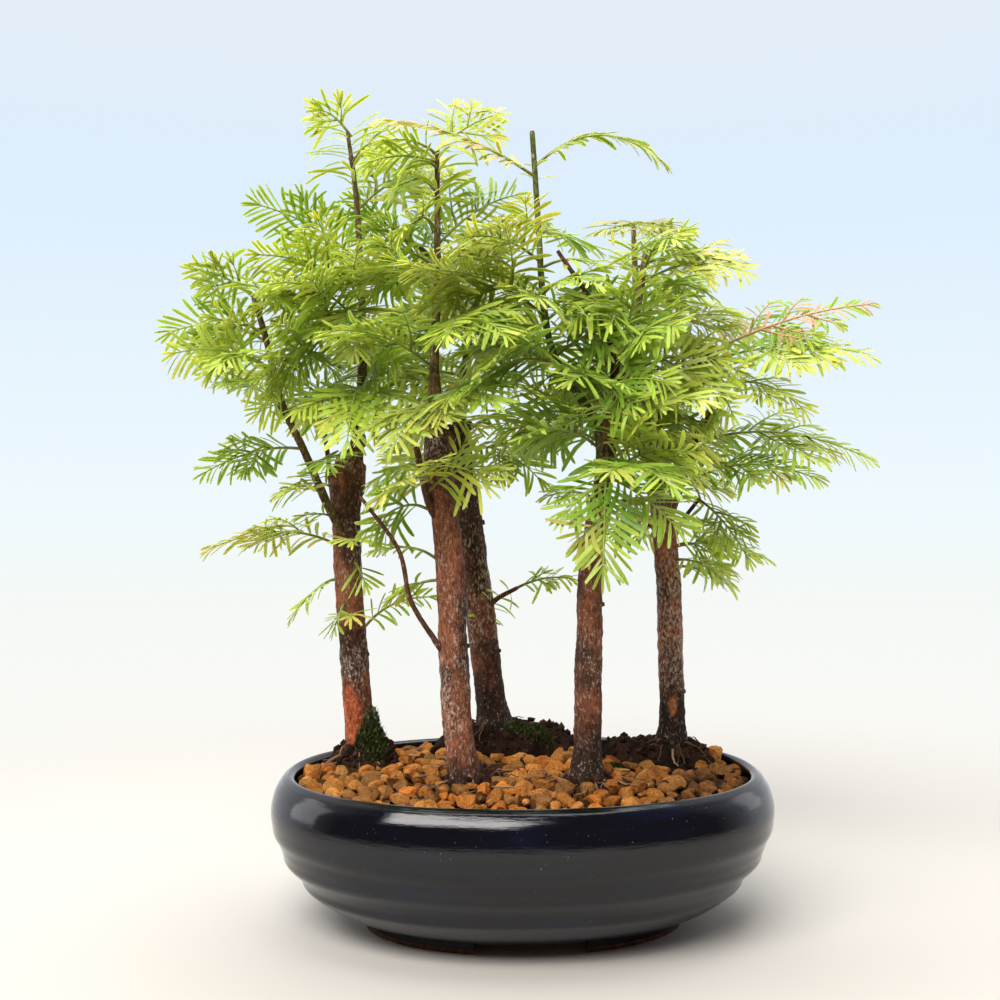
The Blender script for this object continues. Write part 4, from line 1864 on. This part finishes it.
def area_light(name, place, aim, size, power, colour):
    """Hang a soft square light that points at a place."""
    light = bpy.data.lights.new(name, "AREA")
    light.shape = "RECTANGLE"
    light.size, light.size_y = size
    light.energy = power
    light.color = colour
    lamp = add_object(name, light)
    lamp.location = place
    lamp.rotation_euler = (Vector(aim) - Vector(place)).to_track_quat("-Z", "Y").to_euler()


def build_floor():
    """Lay a plain pale floor that fades into the backdrop."""
    material, tree, shader = node_material("floor_look", 0.8, 0.1)
    bright = tuple(1.01 * value for value in FLOOR_COLOUR)
    colour = ramp(tree, noise_factor(tree, 6.0, 3.0), ((0.3, FLOOR_COLOUR), (0.7, bright)))
    feed(tree, shader, {"Base Color": colour})
    reach = add_node(tree, "VectorMath", {0: own_place(tree)}, operation="LENGTH").outputs["Value"]
    ends = {"From Min": FLOOR_FADE[0], "From Max": FLOOR_FADE[1]}
    fade = stretched(tree, reach, ends, interpolation_type="SMOOTHSTEP")
    clear = add_node(tree, "BsdfTransparent", {}).outputs["BSDF"]
    mix = add_node(tree, "MixShader", {"Fac": fade, 1: shader.outputs["BSDF"], 2: clear})
    feed(tree, tree.nodes["Material Output"], {"Surface": mix.outputs["Shader"]})
    ring = [(FLOOR_RADIUS * math.cos(a), FLOOR_RADIUS * math.sin(a), 0.0) for a in turns_round(FLOOR_SIDES)]
    mesh = bpy.data.meshes.new("floor")
    mesh.from_pydata(ring, [], [tuple(range(FLOOR_SIDES))])
    mesh.materials.append(material)
    floor = add_object("floor", mesh)


def set_camera():
    """Place the camera where the photo was taken from, level and turned by the fitted yaw."""
    yaw = math.radians(CAMERA_YAW)
    ahead = Vector((math.sin(yaw), math.cos(yaw), 0.0))
    right = Vector((math.cos(yaw), -math.sin(yaw), 0.0))
    camera = bpy.data.cameras.new("camera")
    camera.lens = LENS
    camera.sensor_width = 36.0
    camera.clip_start = 0.01
    holder = add_object("camera", camera)
    place = -ahead * CAMERA_DISTANCE - right * CAMERA_SHIFT + Vector((0.0, 0.0, CAMERA_HEIGHT))
    holder.location = place * MM
    holder.rotation_euler = (math.radians(90.0), 0.0, -yaw)
    bpy.context.scene.camera = holder


def main():
    """Build every piece, then the picture."""
    bark = bark_material()
    build_pot(glaze_material(), foot_material())
    mesh_look = mesh_material()
    for side in ("left", "right"):
        for slot in frame["nodes"]["drain_mesh_" + side].material_slots:
            slot.material = mesh_look
    build_soil(earth_material("soil_look"))
    build_gravel(clay_material())
    build_moss(fibre_material("moss_look", 0.7))
    build_roots(fibre_material("root_look", 0.75))
    build_straw(fibre_material("straw_look", 0.7))
    for number, stems in TREES.items():
        build_wood(number, stems, bark)
    build_leaves()
    build_floor()
    world_light()
    for lamp in LAMPS:
        area_light(*lamp)
    set_camera()
    bpy.context.scene.view_settings.view_transform = "Standard"


main()
